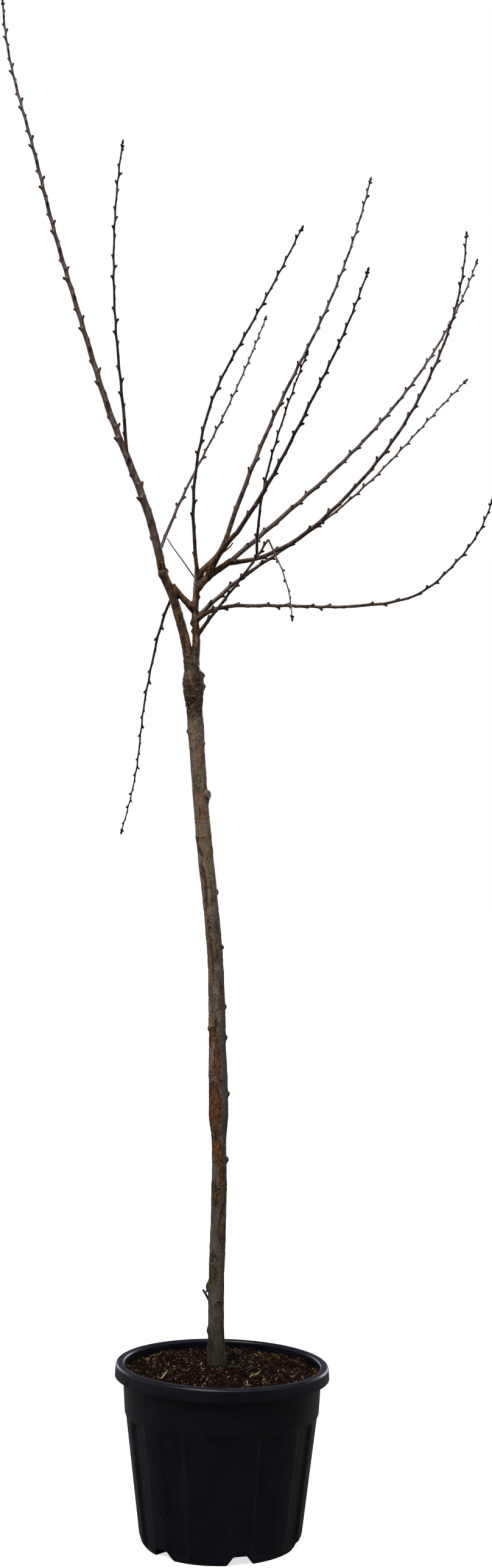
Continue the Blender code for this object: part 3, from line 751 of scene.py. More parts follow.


def trunk_shape(line, relief, layers):
    """The function that gives each point of the trunk's bark its radius, and marks its layers."""

    def radius_of(vertex, share, angle):
        height = share * TRUNK_LENGTH
        radius = line.radius_at(share)
        spot = line.at(share) + line.out_at(share, angle) * radius
        # Ragged edges for every strip: teeth of 4 mm and 1.4 mm along the stem, and of 5 mm round it.
        ragged = noise.noise(spot * 260) * 1.5 * MM + noise.noise(spot * 700) * 0.8 * MM
        side = angle + noise.noise(spot * 210 + Vector((5, 0, 0))) * 1.6 * MM / radius

        def mask(strips, edge):
            return max(strip_mask(strip, height + ragged, side, radius, edge) for strip in strips)

        wound = mask(WOUNDS, 0.8 * MM)
        rim = mask(WOUNDS, 2.6 * MM)
        scar = mask(SCARS, 0.9 * MM)
        seam = mask(SEAMS, 1.2 * MM)
        roll = mask(ROLLS, 2.2 * MM)
        crust = mask(CRUSTS, 0.9 * MM)
        stain = mask(STAINS, 1.1 * MM)
        graft = ease(GRAFT_FOOT - 0.010, GRAFT_FOOT + 0.020, height + 4 * ragged)
        # Slow swellings of 45 mm and 13 mm, roughness of 2 mm, and furrows drawn out along the stem.
        slow = noise.noise(spot * 22) * 0.7 * MM + noise.noise(spot * 75) * 0.5 * MM
        fine = noise.fractal(spot * 430, 1.0, 2.0, 3) * relief * (0.45 + 0.55 * ease(0.18, 0.40, height))
        drawn = noise.noise(Vector((spot.x * 420, spot.y * 420, spot.z * 60))) * 0.25 * MM
        out = slow + (fine + drawn) * (1 - 0.6 * wound) + graft * fine * (1 - roll)
        # A wound has a raised rim and sunk, fibrous wood. A scar, a seam and a crust break the bark up.
        out += (rim - wound) * 1.1 * MM * rim - wound * 1.1 * MM
        out += wound * noise.fractal(Vector((spot.x, spot.y, spot.z * 0.4)) * 560, 1.0, 2.0, 3) * 0.8 * MM
        out += scar * (fine - 0.35 * MM) + 4 * scar * (1 - scar) * 0.45 * MM
        out += seam * (fine - 0.30 * MM)
        out += crust * (fine + 0.35 * MM) + roll * 2.2 * MM - graft * 0.8 * MM
        eye = 0.0
        for place, heading, wide, tall, stands, depth in KNOTS:
            if abs(height - place) > KNOT_REACH * tall:
                continue
            across = math.radians(turned_from(angle, heading)) * radius / wide
            gap = math.hypot(across, (height - place) / tall)
            if gap < KNOT_REACH:
                gap *= 1 + 0.25 * noise.noise(spot * 340)
                blunt = math.exp(-(gap**3.2))
                out += stands * blunt * (1 + 0.25 * noise.noise(spot * 500))
                out -= depth * math.exp(-gap * gap * 6)
                eye = max(eye, math.exp(-gap * gap * 3) if depth else 0.75 * blunt)
        for place, half, stands in RINGS:
            away = (height - place - 0.8 * ragged) / half
            if abs(away) < 2.5:
                around = Vector((math.cos(angle), math.sin(angle), place * 90)) * 1.3
                share_round = 0.55 + 0.45 * noise.noise(around)
                band = math.exp(-away * away * 1.2)
                out += band * stands * share_round * (0.5 + abs(noise.noise(spot * 420)) * 1.8)
                seam = max(seam, band * share_round * 0.9)
        wart = 0.0
        for place, heading, size in WARTS:
            if abs(height - place) < 2 * size:
                across = math.radians(turned_from(angle, heading)) * radius
                gap = math.hypot(across, height - place) / size * (1 + 0.5 * noise.noise(spot * 600))
                wart = max(wart, 1 - ease(0.5, 1.1, gap))
        # Painted shade: this mask paints the right side of the middle stem greyer and darker.
        painted_shade_side = ease(0.35, 0.95, math.cos(angle - math.radians(PAINTED_SHADE_HEADING)) + noise.noise(spot * 60) * 0.35)
        found = {
            "wound": wound,
            "scar": scar,
            "seam": min(seam, 1.0),
            "eye": eye,
            "edge": 4 * wound * (1 - wound),
            "graft": graft,
            "wart": wart,
            "rib": roll * graft,
            "crust": crust,
            "stain": stain,
            "painted_shade_side": painted_shade_side * ease(0.66, 0.56, height) * ease(0.20, 0.26, height),
        }
        for name, value in found.items():
            vertex[layers[name]] = value
        past = max(0.0, height - TRUNK_SHOULDER) / (TRUNK_LENGTH - TRUNK_SHOULDER)
        return (radius + out * (1 - 0.6 * past) + wart * 0.6 * MM) * (1 - 0.5 * past * past)

    return radius_of


def bark_mesh():
    line = LINES["trunk"]
    shell = straight_tube(TRUNK_RINGS, TRUNK_SIDES)
    layers = {name: shell.verts.layers.float.new(name) for name in BARK_LAYERS}
    relief = bpy.context.scene.tree_bark.relief
    bend_tube(shell, line, 0.0, 1.0, trunk_shape(line, relief, layers))
    for vertex in shell.verts:
        vertex.co.z = max(vertex.co.z, TRUNK_FOOT[2])
    return shell


# Graft head and boughs: tubes with flared feet, joined by a fine remesh, then marked.


VOXEL = 0.00062
COLLAR = 0.014  # how far up a limb its flared foot fades
COLLAR_FLARE = 0.42  # how much wider a limb is at its foot
BOUGH_RING = 0.0012  # distance between the rings of a bough's tube
SIDE_FOOT = 0.030  # how much of a shoot on a bough's side is in the boughs' skin
END_FOOT = 0.008  # the same for a shoot that carries on from a bough's end
SMOOTHINGS = 7
MARK_REACH = 0.024  # no mark reaches further
NECK = (SOIL_TOP + 0.938, SOIL_TOP + 0.956)  # where the graft's lumps give way to the boughs


def collared(line, length, foot_share=0.0, end_share=1.0, flare=COLLAR_FLARE, sides=20, girth=1.0):
    """A capped tube along part of a line, flared where it leaves its carrier."""
    rings = max(6, round((end_share - foot_share) * length / BOUGH_RING))
    shell = straight_tube(rings, sides)

    def radius_of(_vertex, share, _angle):
        from_foot = (share - foot_share) * length
        return line.radius_at(share) * girth * (1 + flare * math.exp(-((from_foot / COLLAR) ** 2)))

    bend_tube(shell, line, foot_share, end_share, radius_of)
    return mesh_of(shell, "collar")


def bough_tubes():
    """The meshes that the boughs are joined from, with the feet of the shoots on them."""
    trunk = LINES["trunk"]
    # The top of the trunk, drawn in a little so that it stays inside the head's bark.
    meshes = [collared(trunk, TRUNK_LENGTH, 0.975, 1.0, flare=-0.12, sides=40, girth=0.86)]
    meshes += [collared(LINES[row[0]], row[3]) for row in BOUGHS]
    carriers = {row[0] for row in BOUGHS}
    for row in SHOOTS:
        line, length = LINES[row[0]], row[3]
        if row[1] in carriers:
            reach, flare = (SIDE_FOOT, COLLAR_FLARE) if row[2] < 1.0 else (END_FOOT, 0.0)
            meshes.append(collared(line, length, 0.0, reach / length, flare))
    for limb, share, heading, off, radius in CROTCHES:
        middle = LINES[limb].at(share) + toward(math.radians(heading)) * off
        shell = bmesh.new()
        bmesh.ops.create_icosphere(shell, subdivisions=3, radius=radius)
        bmesh.ops.translate(shell, verts=shell.verts[:], vec=middle)
        meshes.append(mesh_of(shell, "crotch"))
    return meshes


def remeshed(meshes):
    """One closed skin round a pile of meshes."""
    pile = bmesh.new()
    for mesh in meshes:
        pile.from_mesh(mesh)
        bpy.data.meshes.remove(mesh)
    skin = modified(mesh_of(pile, "pile"), "REMESH", {"mode": "VOXEL", "voxel_size": VOXEL})
    shell = bmesh.new()
    shell.from_mesh(skin)
    bpy.data.meshes.remove(skin)
    return shell


def mark_places():
    """Each mark as (place on the bark, way along the limb, radius, how far it stands out, kind)."""
    places = []
    for limb, rows in MARKS:
        line = LINES[limb]
        for share, heading, radius, stands, kind in rows:
            level = toward(math.radians(heading))
            way = line.way_at(share)
            out = (level - way * level.dot(way)).normalized()
            places.append((line.at(share) + out * line.radius_at(share), way, radius, stands, kind))
    return places


def bough_mesh():
    shell = remeshed(bough_tubes())
    for _round in range(SMOOTHINGS):
        bmesh.ops.smooth_vert(
            shell, verts=shell.verts[:], factor=0.5, use_axis_x=True, use_axis_y=True, use_axis_z=True
        )
    shell.normal_update()
    layers = {name: shell.verts.layers.float.new(name) for name in BOUGH_LAYERS}
    marks = mark_places()
    tree = kdtree.KDTree(len(marks))
    for index, mark in enumerate(marks):
        tree.insert(mark[0], index)
    tree.balance()
    relief = bpy.context.scene.tree_bark.relief
    moves = []
    for vertex in shell.verts:
        spot = vertex.co
        # Swellings of 12 mm, roughness of 2 mm, furrows along the limb, and lumps on the graft's neck.
        out = noise.noise(spot * 85) * 0.35 * MM
        out += noise.fractal(spot * 420, 1.0, 2.0, 3) * relief * 0.4
        out += noise.noise(Vector((spot.x * 330, spot.y * 330, spot.z * 60))) * 0.16 * MM
        neck = 1 - ease(*NECK, spot.z)
        out += neck * (noise.noise(spot * 190) * 0.9 * MM + noise.noise(spot * 480) * 0.5 * MM)
        for _place, index, _gap in tree.find_range(spot, MARK_REACH):
            place, way, radius, stands, kind = marks[index]
            off = spot - place
            if kind in ("shade", "gold", "pale"):
                off -= way * off.dot(way) * 0.72  # drawn out along the limb
            gap = off.length / radius * (1 + 0.6 * noise.noise(spot * 330))
            if gap > KNOT_REACH:
                continue
            out += stands * math.exp(-gap * gap * 1.3)
            if kind == "knot":
                out -= 1.6 * stands * math.exp(-gap * gap * 9)
            if kind in layers:
                vertex[layers[kind]] = max(vertex[layers[kind]], math.exp(-gap * gap * 1.6))
        moves.append(out)
    for vertex, out in zip(shell.verts, moves):
        vertex.co += vertex.normal * out
    return shell


# Shoots: fine stems that swell under every bud, and the buds.


def bud_places(length):
    """(place along the shoot in metres, turn in degrees) of every bud, closer toward the tip."""
    places = []
    along = BUD_FIRST
    turn = 90.0
    while along < length - TERMINAL_BUD:
        places.append((along, turn))
        along += BUD_SPACING_LOW + (BUD_SPACING_HIGH - BUD_SPACING_LOW) * along / length
        turn += BUD_TURN
    return places


class Bud:
    """One bud: its place along its shoot, the way out of the bark there, and its size."""

    def __init__(self, line, along, turn):
        self.along = along
        self.share = along / line.length
        stem = line.way_at(self.share)
        self.out = stem.orthogonal().normalized()
        self.out.rotate(Quaternion(stem, math.radians(turn)))
        self.angle = line.angle_of(self.share, self.out)
        self.size = 0.75 + 0.25 * line.radius_at(self.share) / (2.5 * MM)
        lean = math.radians(BUD_LEAN)
        self.way = (stem * math.cos(lean) + self.out * math.sin(lean)).normalized()


BUD_CLEARANCE = 2.5 * MM
BUD_REACH = 0.0062  # from the bark to the tip of a full bud, with room to spare


def clear_of_limbs(spot, line):
    """Whether a bud's tip stays off every other limb."""
    for name, other in LINES.items():
        if name == line.name:
            continue
        for index in range(0, other.count, 3):
            if (spot - other.points[index]).length < other.radii[index] + BUD_CLEARANCE:
                return False
    return True


def buds_of(line):
    kept = []
    for along, turn in bud_places(line.length):
        bud = Bud(line, along, turn)
        tip = line.at(bud.share) + bud.way * (BUD_REACH * bud.size + line.radius_at(bud.share))
        if clear_of_limbs(tip, line):
            kept.append(bud)
    return kept


BUDS = {row[0]: buds_of(LINES[row[0]]) for row in SHOOTS}
CUSHION = 0.0013  # how far the leaf cushion under a full bud stands out of the stem
CUSHION_RUN = 0.0058  # the length of stem over which a cushion rises
CUSHION_END = 0.006  # how far past a bud its cushion can be felt
ZIGZAG = 0.0006  # how far a shoot steps aside at each bud
SHOOT_SLIM = 0.13  # how much slimmer the wood is between the buds than the solid, which takes the cushions in
SHOOT_RING = 0.00125  # distance between the rings of a shoot's stem
DEAD_RING = 0.0016  # the same for a dead twig


def shoot_mesh(row):
    name, length = row[0], row[3]
    line, buds = LINES[name], BUDS[name]
    sides = 16 if name in OLD_SHOOTS else 12
    rings = round(length / SHOOT_RING)
    shell = straight_tube(rings, sides)
    knees = [(bud.along, bud.out * ZIGZAG * min(1.0, bud.size)) for bud in buds]
    knees = [(0.0, Vector())] + knees + [(length, Vector())]
    near = {}
    for index in range(rings + 1):
        along = index / rings * length
        near[index] = [bud for bud in buds if -CUSHION_RUN < along - bud.along < CUSHION_END]

    def shift_of(share):
        along = share * length
        for (low, first), (high, second) in zip(knees, knees[1:]):
            if along <= high:
                return first.lerp(second, (along - low) / max(high - low, 1e-9))
        return Vector()

    def radius_of(_vertex, share, angle):
        along = share * length
        radius = line.radius_at(share) * (1 - SHOOT_SLIM * ease(0.05, 0.4, share))
        spot = line.at(share) + toward(angle) * 0.004
        out = noise.noise(spot * 300) * 0.08 * MM  # faint unevenness of 3 mm
        # A leaf cushion rises slowly from below on its bud's side of the shoot, and ends at the bud. The
        # shoot is also a little thicker all round there.
        for bud in near[round(share * rings)]:
            past = along - bud.along - 1.2 * MM
            rise = ease(-CUSHION_RUN, 0.0, past) ** 1.6 * (1 - ease(0.0, 2.6 * MM, past))
            off = math.radians(turned_from(angle, math.degrees(bud.angle)))
            lobe = max(0.0, math.cos(off)) ** 2.2
            out += CUSHION * bud.size * rise * lobe
            out += 0.06 * radius * math.exp(-((past / 0.003) ** 2))
        return radius + out

    bend_tube(shell, line, 0.0, 1.0, radius_of, shift_of)
    return shell


def joined(name, base, moves, materials, choices, angle):
    """One piece from many copies of a small mesh. Each has a move, which is its 4x4 matrix and a function
    that shapes it first or None, and a choice, which is its material."""
    base.verts.ensure_lookup_table()
    base.verts.index_update()
    corners = np.array([vertex.co for vertex in base.verts])
    faces = [[vertex.index for vertex in face.verts] for face in base.faces]
    own = [face.material_index for face in base.faces]
    base.free()
    points = []
    for laid, shape in moves:
        matrix = np.array(laid)
        shaped = shape(corners) if shape else corners
        points.append(shaped @ matrix[:3, :3].T + matrix[:3, 3])
    count = len(corners)
    many = [[i + k * count for i in face] for k in range(len(moves)) for face in faces]
    mesh = bpy.data.meshes.new(name)
    mesh.from_pydata(np.concatenate(points).tolist(), [], many)
    index = [choice + part for choice in choices for part in own]
    piece = dress(mesh, name, materials, (), angle)
    mesh.polygons.foreach_set("material_index", index)
    return piece


def bud_template():
    """A blunt bud along +Z from a sphere, with its tip's faces in the second material."""
    shell = bmesh.new()
    bmesh.ops.create_uvsphere(shell, u_segments=8, v_segments=7, radius=1.0)
    for vertex in shell.verts:
        height = (vertex.co.z + 1) / 2
        # Widest at a third of its height, a little drawn in at the foot and more at the tip.
        slim = 1 - 0.32 * ease(0.50, 1.0, height) - 0.15 * (1 - ease(0.0, 0.35, height))
        vertex.co = (vertex.co.x * slim / 2, vertex.co.y * slim / 2, height)
    for face in shell.faces:
        face.material_index = 1 if face.calc_center_median().z > 0.86 else 0
    return shell


def placed(spot, way, side, size):
    """The matrix that lays a template of a size (width, thickness, length) along a way at a spot."""
    turn = way.to_track_quat("Z", "Y").to_matrix().to_4x4()
    twist = Matrix.Rotation(side, 4, "Z")
    return Matrix.Translation(spot) @ turn @ twist @ Matrix.Diagonal((*size, 1))


CLUSTER_SIZE = 0.82  # size of the buds round a tip, against a full bud
GOLD_SHARE = 0.22  # how many of the buds have golden scales


def bud_moves():
    """The place and look of every side bud and of the cluster at each free tip."""
    rng = random.Random(SPRAY_SEED)
    settings = bpy.context.scene.tree_shoots
    moves, choices = [], []
    carriers = {row[1] for row in SHOOTS if row[2] == 1.0}
    for row in SHOOTS:
        line = LINES[row[0]]
        for bud in BUDS[row[0]]:
            size = bud.size * rng.uniform(0.85, 1.12)
            radius = line.radius_at(bud.share)
            stem = line.way_at(bud.share)
            lean = math.radians(rng.uniform(24, 40))
            way = stem * math.cos(lean) + bud.out * math.sin(lean)
            spot = line.at(bud.share) + bud.out * (radius + 0.30 * MM) + stem * 0.4 * MM
            width = settings.bud_width * size * rng.uniform(0.9, 1.1)
            length = settings.bud_length * size
            moves.append((placed(spot, way, rng.uniform(0, TURN), (width, width, length)), None))
            choices.append(2 if rng.random() < GOLD_SHARE else 0)
        if row[0] in carriers:
            continue
        # A free tip ends in one bud with three more round it.
        end, way = line.points[-1], line.ways[-1]
        width = settings.bud_width * 1.02
        moves.append((placed(end - way * 0.8 * MM, way, 0.0, (width, width, TERMINAL_BUD)), None))
        choices.append(0)
        width = settings.bud_width * CLUSTER_SIZE
        length = settings.bud_length * CLUSTER_SIZE
        for turn in (0.4, 2.4, 4.5):
            out = line.out_at(1.0, turn)
            lean = (way * 0.85 + out * 0.5).normalized()
            spot = end - way * rng.uniform(1.6, 5.0) * MM + out * 0.7 * MM
            moves.append((placed(spot, lean, turn, (width, width, length)), None))
            choices.append(0)
    return moves, choices


def dead_mesh(row):
    name, length = row[0], row[3]
    line = LINES[name]
    shell = straight_tube(round(length / DEAD_RING), 8)

    def radius_of(_vertex, share, angle):
        wrinkle = noise.noise(line.at(share) * 380 + toward(angle) * 0.8)  # 3 mm long
        return line.radius_at(share) * (1 + 0.10 * wrinkle)

    def shift_of(share):
        spot = line.at(share) * 90  # wavers over 11 mm
        return Vector((noise.noise(spot), noise.noise(spot + Vector((7, 0, 0))), 0)) * 0.9 * MM * share

    bend_tube(shell, line, 0.0, 1.0, radius_of, shift_of)
    return shell


# Pot.


def quarter(centre, radius, start, end, parts):
    """Points on an arc between two angles in degrees, as (radius, height) pairs."""
    points = []
    for i in range(parts + 1):
        angle = math.radians(start + (end - start) * i / parts)
        points.append((centre[0] + radius * math.cos(angle), centre[1] + radius * math.sin(angle)))
    return points


def stretch(start, end, parts):
    """Points from start up to but not including end."""
    steps = [i / parts for i in range(parts)]
    return [(start[0] + (end[0] - start[0]) * t, start[1] + (end[1] - start[1]) * t) for t in steps]


def pot_profile():
    """(radius, height) from the middle of the floor up the wall inside, over the lip and down outside."""
    top = POT_HEIGHT
    lip_foot = POT_HEIGHT - LIP_DEPTH
    skirt = LIP_RADIUS - LIP_FLARE
    mouth = BAND_TOP_RADIUS - POT_WALL
    corner = (BAND_FOOT_RADIUS, BAND_FOOT_HEIGHT)
    land = (LAND_TOP_RADIUS, BAND_FOOT_HEIGHT - BAND_STEP)
    shoulder = (LAND_TOP_RADIUS - 0.0006, FLUTE_TOP)
    land_foot = (LAND_FOOT_RADIUS, LAND_FOOT_HEIGHT)
    foot = (FOOT_RADIUS, FOOT_CORNER_HEIGHT)
    flat = (FOOT_FLAT_RADIUS, 0)
    outside = []
    outside += stretch((BAND_TOP_RADIUS, lip_foot), corner, 6)
    outside += stretch(corner, land, 5)
    outside += stretch(land, shoulder, 5)
    outside += stretch(shoulder, land_foot, 30)
    outside += stretch(land_foot, foot, 6)
    outside += stretch(foot, flat, 5)
    inside = [(radius - POT_WALL, height) for radius, height in outside if height > 0.0029]
    profile = [(0, POT_WALL), (FOOT_FLAT_RADIUS - POT_WALL, POT_WALL)]
    profile += reversed(inside)
    profile += stretch((mouth, lip_foot), (mouth, top - MOUTH_ROUND), 3)[1:]
    profile += quarter((mouth + MOUTH_ROUND, top - MOUTH_ROUND), MOUTH_ROUND, 180, 90, 5)
    profile += quarter((skirt - LIP_ROUND, top - LIP_ROUND), LIP_ROUND, 90, 0, 7)
    profile += stretch((skirt, top - LIP_ROUND), (LIP_RADIUS, lip_foot + 0.0006), 4)[1:]
    profile += quarter((LIP_RADIUS - LIP_EDGE, lip_foot + LIP_EDGE), LIP_EDGE, 0, -90, 3)
    profile += [(LIP_RADIUS - POT_WALL, lip_foot), (LIP_RADIUS - POT_WALL, lip_foot + 0.0040)]
    profile += [(skirt - POT_WALL, top - LIP_ROUND), (skirt - LIP_ROUND, top - POT_WALL)]
    profile += [(BAND_TOP_RADIUS + 0.0040, top - POT_WALL), (BAND_TOP_RADIUS + 0.0002, top - LIP_ROUND)]
    profile += outside
    profile += [(FOOT_FLAT_RADIUS, 0), (0, 0)]
    return profile


def flute_pressing(heading, height):
    """How deep the wall is pressed in, 0 to 1, at a heading from the front and a height."""
    period = 360 / FLUTE_COUNT
    from_middle = abs((heading + period / 2) % period - period / 2)
    across = 1 - ease(FLUTE_HALF_WIDTH - FLUTE_EDGE_WIDTH, FLUTE_HALF_WIDTH, from_middle)
    upward = 1 - ease(FLUTE_TOP, BAND_FOOT_HEIGHT, height)
    return across * upward * ease(0, LAND_FOOT_HEIGHT, height)


def askew(x, y, z):
    """A point of the upright pot or soil, once its mouth has leaned and tilted."""
    share = z / POT_HEIGHT
    outward = min(max((math.hypot(x, y) / LEVEL_CORE - 1) / 3, 0), 1)
    drop = x * math.tan(math.radians(MOUTH_TILT)) * share * share * outward
    return Vector((x + MOUTH_LEAN * share, y, z - drop))


def channel_mesh(spread, start, foot):
    """The six drain channels under the pot as one mesh, each a tapered block with rounded shoulders."""
    pile = bmesh.new()
    for heading in NOTCH_HEADINGS:
        shell = bmesh.new()
        bmesh.ops.create_cube(shell, size=1.0)
        for vertex in shell.verts:
            height = NOTCH_HEIGHT + spread if vertex.co.z > 0 else foot
            narrowing = (NOTCH_FOOT_WIDTH - NOTCH_TOP_WIDTH) * height / NOTCH_HEIGHT
            reach = start if vertex.co.y < 0 else FOOT_RADIUS - CHANNEL_LENGTH - spread
            vertex.co = (vertex.co.x * (NOTCH_FOOT_WIDTH - narrowing + 2 * spread), -reach, height)
        long_edges = [
            edge
            for edge in shell.edges
            if min(vertex.co.z for vertex in edge.verts) > foot + 0.001
            and abs(edge.verts[0].co.x - edge.verts[1].co.x) < 0.001
        ]
        bmesh.ops.bevel(
            shell, geom=long_edges, offset=CHANNEL_ROUND, segments=4, profile=0.5, affect="EDGES", material=-1
        )
        turn = Matrix.Rotation(math.radians(heading), 3, "Z")
        bmesh.ops.rotate(shell, verts=shell.verts[:], cent=(0, 0, 0), matrix=turn)
        block = mesh_of(shell, "channel")
        pile.from_mesh(block)
        bpy.data.meshes.remove(block)
    return mesh_of(pile, "channels")


POT_STEPS = 336


def pot_mesh():
    shell = bmesh.new()
    points = [shell.verts.new((radius, 0, height)) for radius, height in pot_profile()]
    for first, second in zip(points, points[1:]):
        shell.edges.new((first, second))
    bmesh.ops.spin(
        shell,
        geom=shell.verts[:] + shell.edges[:],
        cent=(0, 0, 0),
        axis=(0, 0, 1),
        angle=TURN,
        steps=POT_STEPS,
        use_merge=True,
    )
    bmesh.ops.remove_doubles(shell, verts=shell.verts[:], dist=0.00001)
    for vertex in shell.verts:
        x, y, z = vertex.co
        radius = math.hypot(x, y)
        if radius < LAND_FOOT_RADIUS * 0.9 or z > BAND_FOOT_HEIGHT:
            continue
        heading = math.degrees(math.atan2(x, -y))
        shrink = 1 - FLUTE_DEPTH * flute_pressing(heading, z) / radius
        vertex.co = (x * shrink, y * shrink, z)
    bmesh.ops.recalc_face_normals(shell, faces=shell.faces[:])
    bmesh.ops.triangulate(shell, faces=shell.faces[:], quad_method="SHORT_EDGE")
    mesh = mesh_of(shell, "wall")
    # The channels' roofs are joined on inside the wall, and then the channels are cut from outside.
    roof_start = FOOT_RADIUS - 2 * POT_WALL - FLUTE_DEPTH / 2
    roofs = channel_mesh(POT_WALL, roof_start, POT_WALL / 2)
    mesh = modified(mesh, "BOOLEAN", {"operation": "UNION", "solver": "EXACT"}, roofs)
    cuts = channel_mesh(0, FOOT_RADIUS + 0.020, -0.002)
    mesh = modified(mesh, "BOOLEAN", {"operation": "DIFFERENCE", "solver": "EXACT"}, cuts)
    for vertex in mesh.vertices:
        vertex.co = askew(*vertex.co)
    return mesh


# Soil.


def soil_level(x, y):
    """The height of the upright pot's soil under a point, lumps and all."""
    radius = math.hypot(x, y)
    edge = BAND_TOP_RADIUS - POT_WALL
    if radius < SOIL_SHOULDER[0]:
        fall = ease(SOIL_FOOT_FLAT, SOIL_SHOULDER[0], radius)
        height = SOIL_TOP + (SOIL_SHOULDER[1] - SOIL_TOP) * fall
    else:
        part = (radius - SOIL_SHOULDER[0]) / (edge - SOIL_SHOULDER[0])
        height = SOIL_SHOULDER[1] + (SOIL_EDGE - SOIL_SHOULDER[1]) * part
    lump = bpy.context.scene.tree_soil.lump
    spot = Vector((x, y, 0))
    calm = ease(0.010, 0.030, radius)  # no large lumps against the stem
    # Lumps of 22 mm, 9 mm and 4 mm.
    height += noise.noise(spot * 45) * lump * calm
    height += noise.noise(spot * 110 + Vector((3, 0, 0))) * lump * 0.85 * calm
    height += noise.noise(spot * 260 + Vector((9, 0, 0))) * lump * 0.42
    return height


SOIL_CELLS = 190
SOIL_DEPTH = 0.030  # how far the bed's closed underside lies below its edge
SOIL_GAP = 0.0003  # between the bed and the pot's wall
SOIL_TAPER = 0.0016  # how much narrower the underside is


def soil_mesh():
    """A lumpy disc from a grid whose square is pressed round, with a closed underside."""
    reach = BAND_TOP_RADIUS - POT_WALL - SOIL_GAP
    shell = bmesh.new()
    bmesh.ops.create_grid(shell, x_segments=SOIL_CELLS, y_segments=SOIL_CELLS, size=1.0)
    rim = [edge for edge in shell.edges if edge.is_boundary]
    skirt = bmesh.ops.extrude_edge_only(shell, edges=rim)["geom"]
    low = {item for item in skirt if isinstance(item, bmesh.types.BMVert)}
    bmesh.ops.holes_fill(shell, edges=shell.edges[:], sides=0)
    for vertex in shell.verts:
        u, v = vertex.co.x, vertex.co.y
        # The square grid pressed into a disc.
        x = u * math.sqrt(1 - v * v / 2) * reach
        y = v * math.sqrt(1 - u * u / 2) * reach
        if vertex in low:
            shrink = 1 - SOIL_TAPER / reach
            vertex.co = askew(x * shrink, y * shrink, SOIL_EDGE - SOIL_DEPTH)
        else:
            vertex.co = askew(x, y, soil_level(x, y))
    bmesh.ops.recalc_face_normals(shell, faces=shell.faces[:])
    return shell


def shred_template():
    """A tapered sliver along +Z, four-sided and divided along its length."""
    shell = bmesh.new()
    bmesh.ops.create_cube(shell, size=1.0)
    upright = [edge for edge in shell.edges if abs(edge.verts[0].co.z - edge.verts[1].co.z) > 0.5]
    bmesh.ops.subdivide_edges(shell, edges=upright, cuts=4, use_grid_fill=True)
    return shell


def bent(rng, bow, taper, twist):
    """A function that bows, tapers and twists a template's corners, each copy in its own way."""
    lean = rng.uniform(-bow, bow)
    kink = rng.uniform(-bow, bow) * 0.6
    turn = rng.uniform(-twist, twist)

    def shape(corners):
        height = corners[:, 2]
        slim = 1 - taper * np.abs(2 * height) ** 2
        cos, sin = np.cos(turn * height), np.sin(turn * height)
        x = corners[:, 0] * slim
        y = corners[:, 1] * slim
        bow_x = lean * (1 - (2 * height) ** 2)
        bow_y = kink * height
        return np.stack([x * cos - y * sin + bow_x, x * sin + y * cos + bow_y, height], axis=1)

    return shape


def lumpy(rng):
    """A function that roughens a template's corners."""
    seed = rng.randrange(1 << 30)

    def shape(corners):
        jitter = np.random.default_rng(seed).uniform(-0.22, 0.22, corners.shape)
        return corners * (1 + jitter)

    return shape


# Patches of moss: x, y and radius. The first is liverwort against the stem.
MOSS_PATCHES = (
    (0.017, -0.012, 0.007), (-0.055, 0.075, 0.030), (0.062, 0.070, 0.022), (0.012, 0.100, 0.020)
)
# Cream slivers that stand out on the soil: x, y, heading, rise, length and width.
SLIVERS = (
    (-0.074, -0.062, 62, 28, 0.017, 0.0016),
    (-0.077, -0.066, 70, 22, 0.014, 0.0011),
    (-0.080, -0.072, 78, 16, 0.012, 0.0012),
    (0.046, -0.052, 42, 24, 0.014, 0.0015),
    (0.042, -0.056, 36, 18, 0.009, 0.0010),
    (0.030, -0.086, 8, 10, 0.008, 0.0018),
    (0.036, -0.083, 150, 16, 0.008, 0.0014),
    (0.033, -0.079, 100, 30, 0.006, 0.0012),
    (0.070, -0.080, 20, 8, 0.008, 0.0012),
    (-0.048, 0.020, 15, 12, 0.009, 0.0018),
    (-0.020, 0.094, 20, 50, 0.008, 0.0009),
)
MOSS_SPRIGS = 9000  # for each metre of a patch's radius, and the first patch is the thickest
LITTER_EDGE = 0.1275  # how far out loose crumbs lie


def soil_spot(rng, nearest, furthest):
    """A random place on the soil between two radii: (x, y) in the upright pot."""
    radius = math.sqrt(rng.uniform(nearest**2, furthest**2))
    angle = rng.uniform(0, TURN)
    return radius * math.cos(angle), radius * math.sin(angle)


def on_soil(x, y, lift):
    """The point at a lift above the soil, with the mouth's lean and tilt."""
    return askew(x, y, soil_level(x, y) + lift)


def lying(rng, spot, rise, size):
    """The matrix of a sliver that lies at a spot at a random heading and a small rise."""
    way = toward(rng.uniform(0, TURN), math.radians(rng.uniform(-rise, rise)))
    return placed(spot, way, rng.uniform(0, TURN), size)


# Materials. Their patterns lie in object space, in metres, so a scale of 500 gives features of 2 mm.


